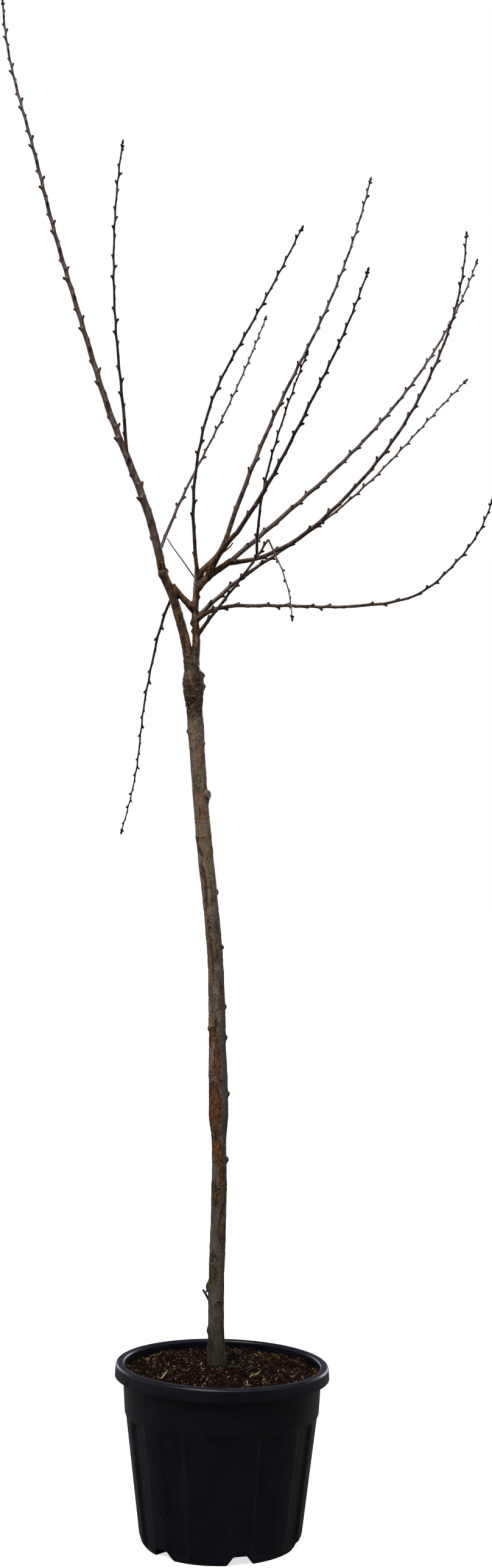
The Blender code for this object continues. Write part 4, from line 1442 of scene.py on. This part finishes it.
def plastic_material():
    """Black moulded polypropylene: satin, a little scuffed, with specks of dried dust."""
    settings = bpy.context.scene.tree_pot
    made, tree, shader = new_material("moulded_black_polypropylene")
    place = add(tree, "ShaderNodeTexCoord").outputs["Object"]
    # Scuffs about 36 mm across, which also dull the satin.
    scuffed = {"Vector": place, "Scale": 28.0, "Detail": 5.0, "Roughness": 0.6}
    scuff = add(tree, "ShaderNodeTexNoise", scuffed).outputs["Fac"]
    dull = span(scuff, 0.3, 0.7, settings.roughness + 0.10)
    dull["To Min"] = settings.roughness - 0.04
    # Specks of dust half a millimetre across, spread over cells as wide as their spacing.
    cells = {"Vector": place, "Scale": 1 / settings.dust_spacing}
    speck = add(tree, "ShaderNodeTexVoronoi", cells).outputs["Distance"]
    # The mould's grain, 1 mm across and up to 0.2 mm deep.
    grain = add(tree, "ShaderNodeTexNoise", {"Vector": place, "Scale": 900.0, "Detail": 2.0}).outputs["Fac"]
    relief = {"Height": grain, "Strength": 0.15, "Distance": 0.0002}
    looks = {
        "Base Color": coated(
            tree,
            settings.plastic,
            (scuff, 0.42, 0.72, settings.bloom),
            (speck, 0.026, 0.018, settings.dust),
        ),
        "Roughness": add(tree, "ShaderNodeMapRange", dull).outputs["Result"],
        "Normal": add(tree, "ShaderNodeBump", relief).outputs["Normal"],
        "IOR": 1.49,
        "Specular IOR Level": 0.30,
    }
    feed(tree, shader, looks)
    return made


def loose_material(name, colour, darker, roughness=0.9, shine=0.12):
    """Dry plant matter in one colour, with a darker mottle of about 3 mm."""
    made, tree, shader = new_material(name)
    place = add(tree, "ShaderNodeTexCoord").outputs["Object"]
    colour = as_colour(colour)
    mottle = add(tree, "ShaderNodeTexNoise", {"Vector": place, "Scale": 350.0, "Detail": 3.0}).outputs["Fac"]
    mixed = coated(tree, darkened(colour, darker), (mottle, 0.35, 0.65, colour))
    feed(tree, shader, {"Base Color": mixed, "Roughness": roughness, "Specular IOR Level": shine})
    return made


def peat_material():
    """Moist peat and composted bark: near-black crumbs with brown and a little tan."""
    settings = bpy.context.scene.tree_soil
    made, tree, shader = new_material("moist_peat_compost")
    place = add(tree, "ShaderNodeTexCoord").outputs["Object"]
    # Crumbs of 4 mm, up to 3 mm high, and curled fibres of 1.4 mm.
    crumbly = {"Vector": place, "Scale": 240.0, "Detail": 6.0, "Roughness": 0.75}
    crumb = add(tree, "ShaderNodeTexNoise", crumbly).outputs["Fac"]
    curled = {"Vector": place, "Scale": 700.0, "Detail": 3.0, "Distortion": 1.5}
    fibre = add(tree, "ShaderNodeTexNoise", curled).outputs["Fac"]
    relief = {"Height": crumb, "Strength": 1.0, "Distance": 0.003}
    looks = {
        "Base Color": coated(
            tree,
            settings.peat,
            (crumb, 0.48, 0.66, settings.bark),
            (fibre, 0.60, 0.68, 0.6, "#4a331d"),
        ),
        "Normal": add(tree, "ShaderNodeBump", relief).outputs["Normal"],
        "Roughness": 0.92,
        "Specular IOR Level": 0.08,
    }
    feed(tree, shader, looks)
    return made


def trunk_material():
    """Smooth cherry-like bark: speckled buff above and slate below, brown seams and peeled orange wood."""
    settings = bpy.context.scene.tree_bark
    made, tree, shader = new_material("speckled_fruitwood_bark")
    place = add(tree, "ShaderNodeTexCoord").outputs["Object"]
    height = add(tree, "ShaderNodeSeparateXYZ", {"Vector": place}).outputs["Z"]
    marks = {}
    for name in BARK_LAYERS:
        marks[name] = add(tree, "ShaderNodeAttribute", None, {"attribute_name": name}).outputs["Fac"]
    # Places drawn out along the stem for its patches, along the peeled wood for its grain, and
    # squeezed for the lenticels, which lie across the bark.
    drawn, grained, squashed = (
        add(tree, "ShaderNodeMapping", {"Vector": place, "Scale": (1.0, 1.0, along)}).outputs["Vector"]
        for along in (0.4, 0.3, 1.8)
    )
    # Patches of 20 mm, a film in blots of 6 mm, specks of cork and dirt of 2 mm, which in the peeled wood are
    # painted glints, and grain of 3 mm.
    inputs = ("Vector", "Scale", "Detail", "Roughness")
    patch, film, speck, grain = (
        add(tree, "ShaderNodeTexNoise", dict(zip(inputs, row))).outputs["Fac"]
        for row in (
            (drawn, 50.0, 4.0, 0.6),
            (drawn, 170.0, 6.0, 0.7),
            (place, 560.0, 3.0, 0.8),
            (grained, 380.0, 5.0, 0.7),
        )
    )
    # Lenticels, pale dashes 5 mm apart, and dark pores 4 mm apart.
    dash = add(tree, "ShaderNodeTexVoronoi", {"Vector": squashed, "Scale": 190.0}).outputs["Distance"]
    pore = add(tree, "ShaderNodeTexVoronoi", {"Vector": place, "Scale": 270.0}).outputs["Distance"]
    # The height where the bark changes, made uneven by the patches.
    uneven = {0: patch, 1: 0.24, 2: height}
    ragged = add(tree, "ShaderNodeMath", uneven, {"operation": "MULTIPLY_ADD"}).outputs["Value"]
    # Grafting wax in streaks on the head, and seams broken up by the film.
    high = span(ragged, SOIL_TOP + 1.018, SOIL_TOP + 1.032)
    high = add(tree, "ShaderNodeMapRange", high).outputs["Result"]
    streak = add(tree, "ShaderNodeMapRange", span(film, 0.51, 0.58, 0.80)).outputs["Result"]
    wax, torn = (
        add(tree, "ShaderNodeMath", {0: where, 1: broken}, {"operation": "MULTIPLY"}).outputs["Value"]
        for where, broken in ((high, streak), (marks["seam"], film))
    )
    # The peeled wood's gold flecks are painted glints, as of a wet sheen.
    wood = coated(
        tree,
        settings.wood,
        (patch, 0.45, 0.60, 0.8, "#3a200a"),
        (grain, 0.50, 0.58, 0.9, "#27160a"),
        (grain, 0.44, 0.36, 0.7, "#8c5f26"),
        (speck, 0.60, 0.68, 0.6, "#a87f47"),
    )
    olive = coated(
        tree,
        settings.graft,
        (film, 0.45, 0.56, "#130d07"),
        (patch, 0.50, 0.60, 0.7, "#54452c"),
        (speck, 0.59, 0.66, 0.75, "#967b48"),
    )
    rib = coated(tree, "#3f3022", (grain, 0.48, 0.62, 0.8, "#22170f"))
    crust = coated(tree, "#433a24", (film, 0.48, 0.58, 0.8, "#1f190f"), (speck, 0.58, 0.66, 0.8, "#857747"))
    healed = coated(tree, "#574834", (film, 0.46, 0.58, 0.85, "#2a1e14"), (speck, 0.58, 0.66, 0.6, "#8a7758"))
    stain = coated(tree, "#80603a", (speck, 0.46, 0.36, "#3b2311"))
    slate = coated(tree, settings.lower, (ragged, SOIL_TOP + 0.42, SOIL_TOP + 0.58, "#61544a"))
    speckled = coated(
        tree,
        slate,
        (ragged, SOIL_TOP + 0.68, SOIL_TOP + 0.76, settings.upper),
        (film, 0.49, 0.40, 0.70, "#897b69"),
        (patch, 0.54, 0.66, 0.45, "#7b5c36"),
        (speck, 0.56, 0.66, 0.75, "#998265"),
        (speck, 0.46, 0.37, 0.85, "#2b2119"),
        (pore, 0.26, 0.14, 0.70, "#2b2018"),
    )
    calm = coated(
        tree,
        slate,
        (film, 0.44, 0.62, 0.60, "#655d50"),
        (speck, 0.45, 0.36, 0.70, "#231b13"),
        (speck, 0.60, 0.68, 0.45, "#827a6a"),
    )
    colour = coated(
        tree,
        calm,
        (ragged, SOIL_TOP + 0.26, SOIL_TOP + 0.42, speckled),
        (film, 0.53, 0.64, 0.80, settings.mottle),
        # painted shade on the stem's right side
        (marks["painted_shade_side"], 0.0, 1.0, 0.75, "#45413b"),
        (dash, 0.20, 0.12, 0.75, "#8b7d69"),
        (torn, 0.18, 0.42, 0.85, "#38261a"),
        (marks["scar"], 0.05, 0.40, 0.95, "#1d140d"),
        (marks["scar"], 0.72, 0.96, 0.85, healed),
        (marks["crust"], crust),
        (marks["graft"], olive),
        (marks["rib"], rib),
        (marks["stain"], 0.0, 1.0, 0.8, stain),
        (wax, 0.0, 1.0, 0.7, "#63634f"),
        (marks["wart"], 0.0, 1.0, 0.9, "#8a6238"),
        (marks["wound"], wood),
        (marks["edge"], "#120b06"),
        (marks["eye"], "#1a110a"),
        (ragged, SOIL_TOP + 0.215, SOIL_TOP + 0.150, 0.88, "#1a1108"),
    )
    coarse = {"Height": film, "Strength": 0.9, "Distance": 0.0022}
    coarse = add(tree, "ShaderNodeBump", coarse).outputs["Normal"]
    relief = {"Height": speck, "Strength": 0.6, "Distance": 0.0010, "Normal": coarse}
    # Peeled wood, the graft and its ribs shine a little more than the bark.
    gloss = marks["wound"]
    for name in ("graft", "rib"):
        pair = {0: gloss, 1: marks[name]}
        gloss = add(tree, "ShaderNodeMath", pair, {"operation": "MAXIMUM"}).outputs["Value"]
    looks = {
        "Base Color": colour,
        "Normal": add(tree, "ShaderNodeBump", relief).outputs["Normal"],
        "Roughness": add(tree, "ShaderNodeMapRange", span(gloss, 2.8, 0.0, 0.74)).outputs["Result"],
        "Specular IOR Level": 0.26,
    }
    feed(tree, shader, looks)
    return made


def bough_material():
    """Two-year bark: brown and satin, with tiny corky dots, dark cracks, a little weathered grey, painted
    shade and painted highlights.
    """
    settings = bpy.context.scene.tree_bark
    made, tree, shader = new_material("two_year_fruitwood_bark")
    place = add(tree, "ShaderNodeTexCoord").outputs["Object"]
    height = add(tree, "ShaderNodeSeparateXYZ", {"Vector": place}).outputs["Z"]
    # A film in blots of 4 mm drawn out along the limb, specks of 1.6 mm, and dots 2 mm apart.
    drawn = add(tree, "ShaderNodeMapping", {"Vector": place, "Scale": (1.0, 1.0, 0.3)}).outputs["Vector"]
    blots = {"Vector": drawn, "Scale": 260.0, "Detail": 6.0, "Roughness": 0.7}
    film = add(tree, "ShaderNodeTexNoise", blots).outputs["Fac"]
    specks = {"Vector": place, "Scale": 620.0, "Detail": 3.0, "Roughness": 0.75}
    speck = add(tree, "ShaderNodeTexNoise", specks).outputs["Fac"]
    dot = add(tree, "ShaderNodeTexVoronoi", {"Vector": place, "Scale": 430.0}).outputs["Distance"]
    coats = [
        (film, 0.46, 0.58, "#190f07"),
        (film, 0.43, 0.35, 0.7, "#855f31"),
        (speck, 0.60, 0.68, 0.45, "#7a5c3d"),
        (dot, 0.19, 0.12, 0.65, "#a3835a"),
    ]
    # The shade look is painted shade, the gold look is golden bark with a painted satin highlight, and this
    # pale look is weathered grey that is also a painted highlight.
    weathered = coated(tree, "#837a6d", (film, 0.46, 0.56, 0.85, "#33281f"))
    looks = ("#291a12", "#73532a", "#5e3a25", weathered, "#120b06")
    for name, look in zip(BOUGH_LAYERS, looks):
        mask = add(tree, "ShaderNodeAttribute", None, {"attribute_name": name}).outputs["Fac"]
        torn = add(tree, "ShaderNodeMath", {0: mask, 1: film}, {"operation": "MULTIPLY"}).outputs["Value"]
        coats.append((torn, 0.20, 0.38, 0.85, look))
    # The graft's dark crust runs up onto the feet of the boughs.
    crust = coated(
        tree, settings.graft, (film, 0.46, 0.58, "#181009"), (speck, 0.58, 0.66, 0.7, "#8a7a58")
    )
    uneven = {0: film, 1: 0.05, 2: height}
    ragged = add(tree, "ShaderNodeMath", uneven, {"operation": "MULTIPLY_ADD"}).outputs["Value"]
    coats.append((ragged, SOIL_TOP + 0.984, SOIL_TOP + 0.958, 0.92, crust))
    relief = {"Height": film, "Strength": 0.8, "Distance": 0.0016}
    looks = {
        "Base Color": coated(tree, settings.bough, *coats),
        "Normal": add(tree, "ShaderNodeBump", relief).outputs["Normal"],
        "Roughness": 0.44,
        "Specular IOR Level": 0.30,
    }
    feed(tree, shader, looks)
    return made


def shoot_material(name, colour, roughness):
    """One-year bark: smooth and satin, streaked along the shoot, with small pale dots."""
    made, tree, shader = new_material(name)
    place = add(tree, "ShaderNodeTexCoord").outputs["Object"]
    colour = as_colour(colour)
    # Streaks of 4 mm by 20 mm, and dots 2.5 mm apart.
    drawn = add(tree, "ShaderNodeMapping", {"Vector": place, "Scale": (1.0, 1.0, 0.22)}).outputs["Vector"]
    streaks = {"Vector": drawn, "Scale": 230.0, "Detail": 5.0, "Roughness": 0.7}
    film = add(tree, "ShaderNodeTexNoise", streaks).outputs["Fac"]
    dot = add(tree, "ShaderNodeTexVoronoi", {"Vector": place, "Scale": 400.0}).outputs["Distance"]
    relief = {"Height": film, "Strength": 0.35, "Distance": 0.001}
    looks = {
        "Base Color": coated(
            tree,
            colour,
            (film, 0.48, 0.60, darkened(colour, 0.32)),
            (film, 0.44, 0.36, 0.6, "#75675e"),
            (dot, 0.20, 0.12, 0.35, "#86673f"),
        ),
        "Normal": add(tree, "ShaderNodeBump", relief).outputs["Normal"],
        "Roughness": roughness,
        "Specular IOR Level": 0.42,
    }
    feed(tree, shader, looks)
    return made


def floor_material():
    """Pale card on a light table: white to the camera, while the plant's undersides stay dark."""
    made, tree, shader = new_material("pale_studio_card")
    seen = add(tree, "ShaderNodeLightPath").outputs["Is Camera Ray"]
    looks = {
        "Base Color": coated(tree, "#5f5f5e", (seen, bpy.context.scene.tree_stage.floor)),
        "Emission Color": linear("#ffffff"),
        "Emission Strength": add(tree, "ShaderNodeMapRange", span(seen, 0.0, 1.0, 0.72)).outputs["Result"],
        "Roughness": 0.95,
        "Specular IOR Level": 0.1,
    }
    feed(tree, shader, looks)
    return made


# Buttons: one for each piece or group of pieces.


FLOOR_LEVEL = -0.0003  # a hair under the pot's foot
WORLD_FILL = 0.05  # light that the studio gives from every side
LAMP_DISTANCE = 3
# Lamps: name, heading, rise, power, the angle it fills in degrees, colour.
LAMPS = (
    ("key_light", 248, 52, 3.3, 28, "#fff4e8"),
    ("fill_light", 328, 44, 0.45, 50, "#e6eeff"),
    ("rear_right_light", 58, 10, 0.85, 26, "#f2f5ff"),
    ("rear_left_light", 122, 10, 0.60, 26, "#f2f5ff"),
)


class TREE_OT_stage(bpy.types.Operator):
    """Add the floor, the soft light and the camera"""

    bl_idname = "standard_tree.stage"
    bl_label = "Stage"

    def execute(self, context):
        settings = context.scene.tree_stage
        shell = bmesh.new()
        bmesh.ops.create_grid(shell, x_segments=2, y_segments=2, size=settings.floor_size / 2)
        bmesh.ops.translate(shell, vec=(0, 0, FLOOR_LEVEL), verts=shell.verts[:])
        mesh = mesh_of(shell, "floor")
        mesh.materials.append(floor_material())
        floor = bpy.data.objects.new("floor", mesh)
        context.scene.collection.objects.link(floor)
        self.light_world(context)
        for lamp in LAMPS:
            self.add_light(context, *lamp)
        self.add_camera(context, settings)
        context.scene.view_settings.view_transform = "Standard"
        return {"FINISHED"}

    def light_world(self, context):
        """A white studio: bright beside and above the plant, dim in front, and white to the camera."""
        world = bpy.data.worlds.new("white_studio")
        context.scene.world = world
        world.use_nodes = True
        tree = world.node_tree
        tree.nodes.clear()
        way = add(tree, "ShaderNodeTexCoord").outputs["Generated"]
        parts = add(tree, "ShaderNodeSeparateXYZ", {"Vector": way})
        right, left, above, behind = (
            add(tree, "ShaderNodeMapRange", span(parts.outputs[axis], low, high, most)).outputs["Result"]
            for axis, low, high, most in (
                ("X", 0.65, 1.0, 0.62),
                ("X", -0.62, -0.95, 0.85),
                ("Z", 0.55, 1.0, 0.42),
                ("Y", 0.75, 1.0, 0.25),
            )
        )
        level = right
        for other in (left, above, behind):
            pair = {0: level, 1: other}
            level = add(tree, "ShaderNodeMath", pair, {"operation": "MAXIMUM"}).outputs["Value"]
        filled = {0: level, 1: WORLD_FILL}
        filled = add(tree, "ShaderNodeMath", filled, {"operation": "ADD"}).outputs["Value"]
        seen = add(tree, "ShaderNodeLightPath").outputs["Is Camera Ray"]
        strength = add(tree, "ShaderNodeMix", {0: seen, 2: filled, 3: 1.0}, {"data_type": "FLOAT"}).outputs[0]
        tint = coated(tree, "#e9eefa", (seen, "#ffffff"))
        light = add(tree, "ShaderNodeBackground", {"Color": tint, "Strength": strength}).outputs["Background"]
        add(tree, "ShaderNodeOutputWorld", {"Surface": light})

    def add_light(self, context, name, heading, rise, power, width, code):
        """A large far lamp, as wide as the angle it fills, so that its shadows stay soft."""
        data = bpy.data.lights.new(name, "SUN")
        data.energy = power
        data.angle = math.radians(width)
        data.color = linear(code)[:3]
        lamp = bpy.data.objects.new(name, data)
        way = toward(math.radians(heading), math.radians(rise))
        lamp.location = way * LAMP_DISTANCE
        lamp.rotation_euler = way.to_track_quat("Z", "Y").to_euler()
        context.scene.collection.objects.link(lamp)

    def add_camera(self, context, settings):
        data = bpy.data.cameras.new("camera")
        data.lens = settings.lens
        data.sensor_width = 36.0
        data.shift_y = settings.shift
        data.clip_end = 200
        camera = bpy.data.objects.new("camera", data)
        camera.location = (settings.camera_side, -settings.camera_distance, settings.camera_height)
        camera.rotation_euler = (math.pi / 2, 0, 0)
        context.scene.collection.objects.link(camera)
        context.scene.camera = camera


class TREE_OT_pot(bpy.types.Operator):
    """Add the fluted black pot with its skirted lip and drain channels"""

    bl_idname = "standard_tree.pot"
    bl_label = "Pot"

    def execute(self, context):
        dress(pot_mesh(), "nursery_pot", [plastic_material()], ["pot"], 40)
        return {"FINISHED"}


class TREE_OT_soil(bpy.types.Operator):
    """Add the bed of peat that fills the pot"""

    bl_idname = "standard_tree.soil"
    bl_label = "Soil"

    def execute(self, context):
        finish_piece(soil_mesh(), "peat_bed", [peat_material()], ["potting_soil"], 80)
        return {"FINISHED"}


class TREE_OT_litter(bpy.types.Operator):
    """Scatter crumbs, bark shreds, wood fibre and moss on the peat"""

    bl_idname = "standard_tree.litter"
    bl_label = "Litter"

    def execute(self, context):
        settings = context.scene.tree_soil
        self.add_crumbs(settings)
        self.add_shreds(settings)
        self.add_moss(settings)
        return {"FINISHED"}

    def add_crumbs(self, settings):
        rng = random.Random(SPRAY_SEED + 1)
        looks = [
            loose_material("peat_crumb", "#0f0905", 0.5, 0.9, 0.08),
            loose_material("bark_crumb", "#20130b", 0.5, 0.9, 0.08),
            loose_material("bark_chip", "#4a2c1a", 0.5, 0.9, 0.08),
        ]
        template = bmesh.new()
        bmesh.ops.create_icosphere(template, subdivisions=2, radius=0.5)
        moves, choices = [], []
        for _crumb in range(settings.crumbs):
            x, y = soil_spot(rng, 0.012, LITTER_EDGE)
            # Crumbs of 2 to 5 mm, and one in four larger.
            size = rng.uniform(0.0018, 0.0048) * rng.choice((1.0, 1.0, 1.0, 1.7))
            spot = on_soil(x, y, size * 0.12)
            turn = Quaternion([rng.gauss(0, 1) for _part in range(4)])
            scale = Matrix.Diagonal((size, size * rng.uniform(0.5, 1), size * rng.uniform(0.3, 0.7), 1))
            turned = turn.normalized().to_matrix().to_4x4()
            moves.append((Matrix.Translation(spot) @ turned @ scale, lumpy(rng)))
            choices.append(rng.choices((0, 1, 2), (58, 34, 8))[0])
        joined("peat_crumbs", template, moves, looks, choices, 30)

    def add_shreds(self, settings):
        rng = random.Random(SPRAY_SEED + 2)
        looks = [
            loose_material("dark_bark_shred", "#150d07", 0.55),
            loose_material("brown_bark_shred", "#2a1b0f", 0.5),
            loose_material("tan_wood_fibre", "#59432a", 0.5),
            loose_material("bleached_wood_fibre", settings.straw, 0.45),
            loose_material("cream_wood_sliver", "#ad9770", 0.5),
        ]
        moves, choices = [], []
        for _shred in range(settings.shreds):
            x, y = soil_spot(rng, 0.013, 0.128)
            look = rng.choices((0, 1, 2, 3, 4), (42, 31, 14, 8, 5))[0]
            length = rng.uniform(0.0024, 0.0084)
            width = rng.uniform(0.0005, 0.0015)
            thick = rng.uniform(0.0003, 0.0006)
            spot = on_soil(x, y, rng.uniform(0.0, 0.0030))
            matrix = lying(rng, spot, 46, (width, thick, length))
            moves.append((matrix, bent(rng, 1.6 * rng.random(), 0.7, 1.5)))
            choices.append(look)
        for x, y, heading, rise, length, width in SLIVERS:
            climb = math.radians(rise)
            spot = on_soil(x, y, math.sin(climb) * length / 2 + 0.0012)
            matrix = placed(spot, toward(math.radians(heading), climb), 0.0, (width, width * 0.4, length))
            moves.append((matrix, bent(rng, 0.3, 0.55, 0.6)))
            choices.append(4)
        joined("bark_and_fibre_shreds", shred_template(), moves, looks, choices, 30)

    def add_moss(self, settings):
        rng = random.Random(SPRAY_SEED + 3)
        looks = [
            loose_material("green_moss", settings.moss, 0.5),
            loose_material("olive_moss", "#4a4820", 0.5),
            loose_material("blue_green_liverwort", "#34483b", 0.6),
        ]
        moves, choices = [], []
        for index, (x, y, reach) in enumerate(MOSS_PATCHES):
            for _sprig in range(round(MOSS_SPRIGS * reach * (0.6 if index else 1.4))):
                radius = reach * math.sqrt(rng.random())
                angle = rng.uniform(0, TURN)
                px, py = x + radius * math.cos(angle), y + radius * math.sin(angle)
                if not 0.014 < math.hypot(px, py) < 0.127:
                    continue
                length = rng.uniform(0.0018, 0.0048)
                matrix = lying(rng, on_soil(px, py, length * 0.35), 75, (0.0006, 0.0004, length))
                moves.append((matrix, bent(rng, 0.4, 0.8, 0.5)))
                choices.append(2 if index == 0 and rng.random() < 0.7 else rng.choices((0, 1), (3, 2))[0])
        joined("moss_sprigs", shred_template(), moves, looks, choices, 30)


class TREE_OT_trunk(bpy.types.Operator):
    """Add the stem's bark with its wounds, scars and knots, and the pruned stub on it"""

    bl_idname = "standard_tree.trunk"
    bl_label = "Trunk"

    def execute(self, context):
        bark = trunk_material()
        finish_piece(bark_mesh(), "trunk_bark", [bark], ["trunk"], 75)
        cut = loose_material("weathered_saw_cut", "#4f3a2a", 0.5)
        finish_piece(stub_mesh(), "pruned_stub", [bark, cut], (), 40)
        return {"FINISHED"}


class TREE_OT_boughs(bpy.types.Operator):
    """Add the graft head and the boughs as one skin of old bark"""

    bl_idname = "standard_tree.boughs"
    bl_label = "Graft head and boughs"

    def execute(self, context):
        names = [row[0] for row in BOUGHS]
        finish_piece(bough_mesh(), "graft_head_and_boughs", [bough_material()], names, 75)
        return {"FINISHED"}


class TREE_OT_shoots(bpy.types.Operator):
    """Add the one-year shoots, which swell under every bud"""

    bl_idname = "standard_tree.shoots"
    bl_label = "Shoots"

    def execute(self, context):
        settings = context.scene.tree_shoots
        old = shoot_material("two_year_shoot_bark", "#4b372b", 0.42)
        young = shoot_material("one_year_shoot_bark", settings.young, 0.42)
        red = shoot_material("red_one_year_shoot_bark", settings.red, 0.40)
        for row in SHOOTS:
            name = row[0]
            look = old if name in OLD_SHOOTS else red if name in RED_SHOOTS else young
            finish_piece(shoot_mesh(row), name + "_stem", [look], [name], 75)
        return {"FINISHED"}


class TREE_OT_buds(bpy.types.Operator):
    """Add every bud on the shoots, and the clusters at their tips"""

    bl_idname = "standard_tree.buds"
    bl_label = "Buds"

    def execute(self, context):
        settings = context.scene.tree_shoots
        looks = [
            loose_material("brown_bud_scale", settings.scale, 0.6, 0.5),
            loose_material("dark_bud_tip", settings.tip, 0.6, 0.5),
            loose_material("golden_bud_scale", settings.gold, 0.6, 0.5),
            loose_material("brown_bud_tip", "#3a2418", 0.6, 0.5),
        ]
        moves, choices = bud_moves()
        joined("buds", bud_template(), moves, looks, choices, 50)
        return {"FINISHED"}


class TREE_OT_dead_wood(bpy.types.Operator):
    """Add the dead twigs, the dead spur and the broken twig low on the stem"""

    bl_idname = "standard_tree.dead_wood"
    bl_label = "Dead wood"

    def execute(self, context):
        look = loose_material("weathered_dead_wood", "#3d352d", 0.45, 0.8)
        for row in DEAD_TWIGS + SNAGS:
            replaced = [row[0]] if row in DEAD_TWIGS else ()
            finish_piece(dead_mesh(row), row[0] + "_wood", [look], replaced, 60)
        return {"FINISHED"}


class TREE_PT_panel(bpy.types.Panel):
    """The buttons and values of the tree"""

    bl_label = "Potted standard tree"
    bl_idname = "TREE_PT_panel"
    bl_space_type = "VIEW_3D"
    bl_region_type = "UI"
    bl_category = "Tree"

    def draw(self, context):
        for operator, group in STEPS:
            box = self.layout.box()
            box.operator(operator.bl_idname)
            settings = getattr(context.scene, group)
            for name in settings.__annotations__:
                box.prop(settings, name)


STEPS = (
    (TREE_OT_stage, "tree_stage"),
    (TREE_OT_pot, "tree_pot"),
    (TREE_OT_soil, "tree_soil"),
    (TREE_OT_litter, "tree_soil"),
    (TREE_OT_trunk, "tree_bark"),
    (TREE_OT_boughs, "tree_bark"),
    (TREE_OT_shoots, "tree_shoots"),
    (TREE_OT_buds, "tree_shoots"),
    (TREE_OT_dead_wood, "tree_shoots"),
)
GROUPS = {
    "tree_stage": TreeStageSettings,
    "tree_pot": TreePotSettings,
    "tree_soil": TreeSoilSettings,
    "tree_bark": TreeBarkSettings,
    "tree_shoots": TreeShootSettings,
}


def register():
    for name, group in GROUPS.items():
        bpy.utils.register_class(group)
        setattr(bpy.types.Scene, name, bpy.props.PointerProperty(type=group))
    for operator, _group in STEPS:
        bpy.utils.register_class(operator)
    bpy.utils.register_class(TREE_PT_panel)


def unregister():
    bpy.utils.unregister_class(TREE_PT_panel)
    for operator, _group in reversed(STEPS):
        bpy.utils.unregister_class(operator)
    for name, group in GROUPS.items():
        delattr(bpy.types.Scene, name)
        bpy.utils.unregister_class(group)


def main():
    register()
    bpy.ops.standard_tree.stage()
    bpy.ops.standard_tree.pot()
    bpy.ops.standard_tree.soil()
    bpy.ops.standard_tree.litter()
    bpy.ops.standard_tree.trunk()
    bpy.ops.standard_tree.boughs()
    bpy.ops.standard_tree.shoots()
    bpy.ops.standard_tree.buds()
    bpy.ops.standard_tree.dead_wood()


if __name__ == "__main__":
    main()
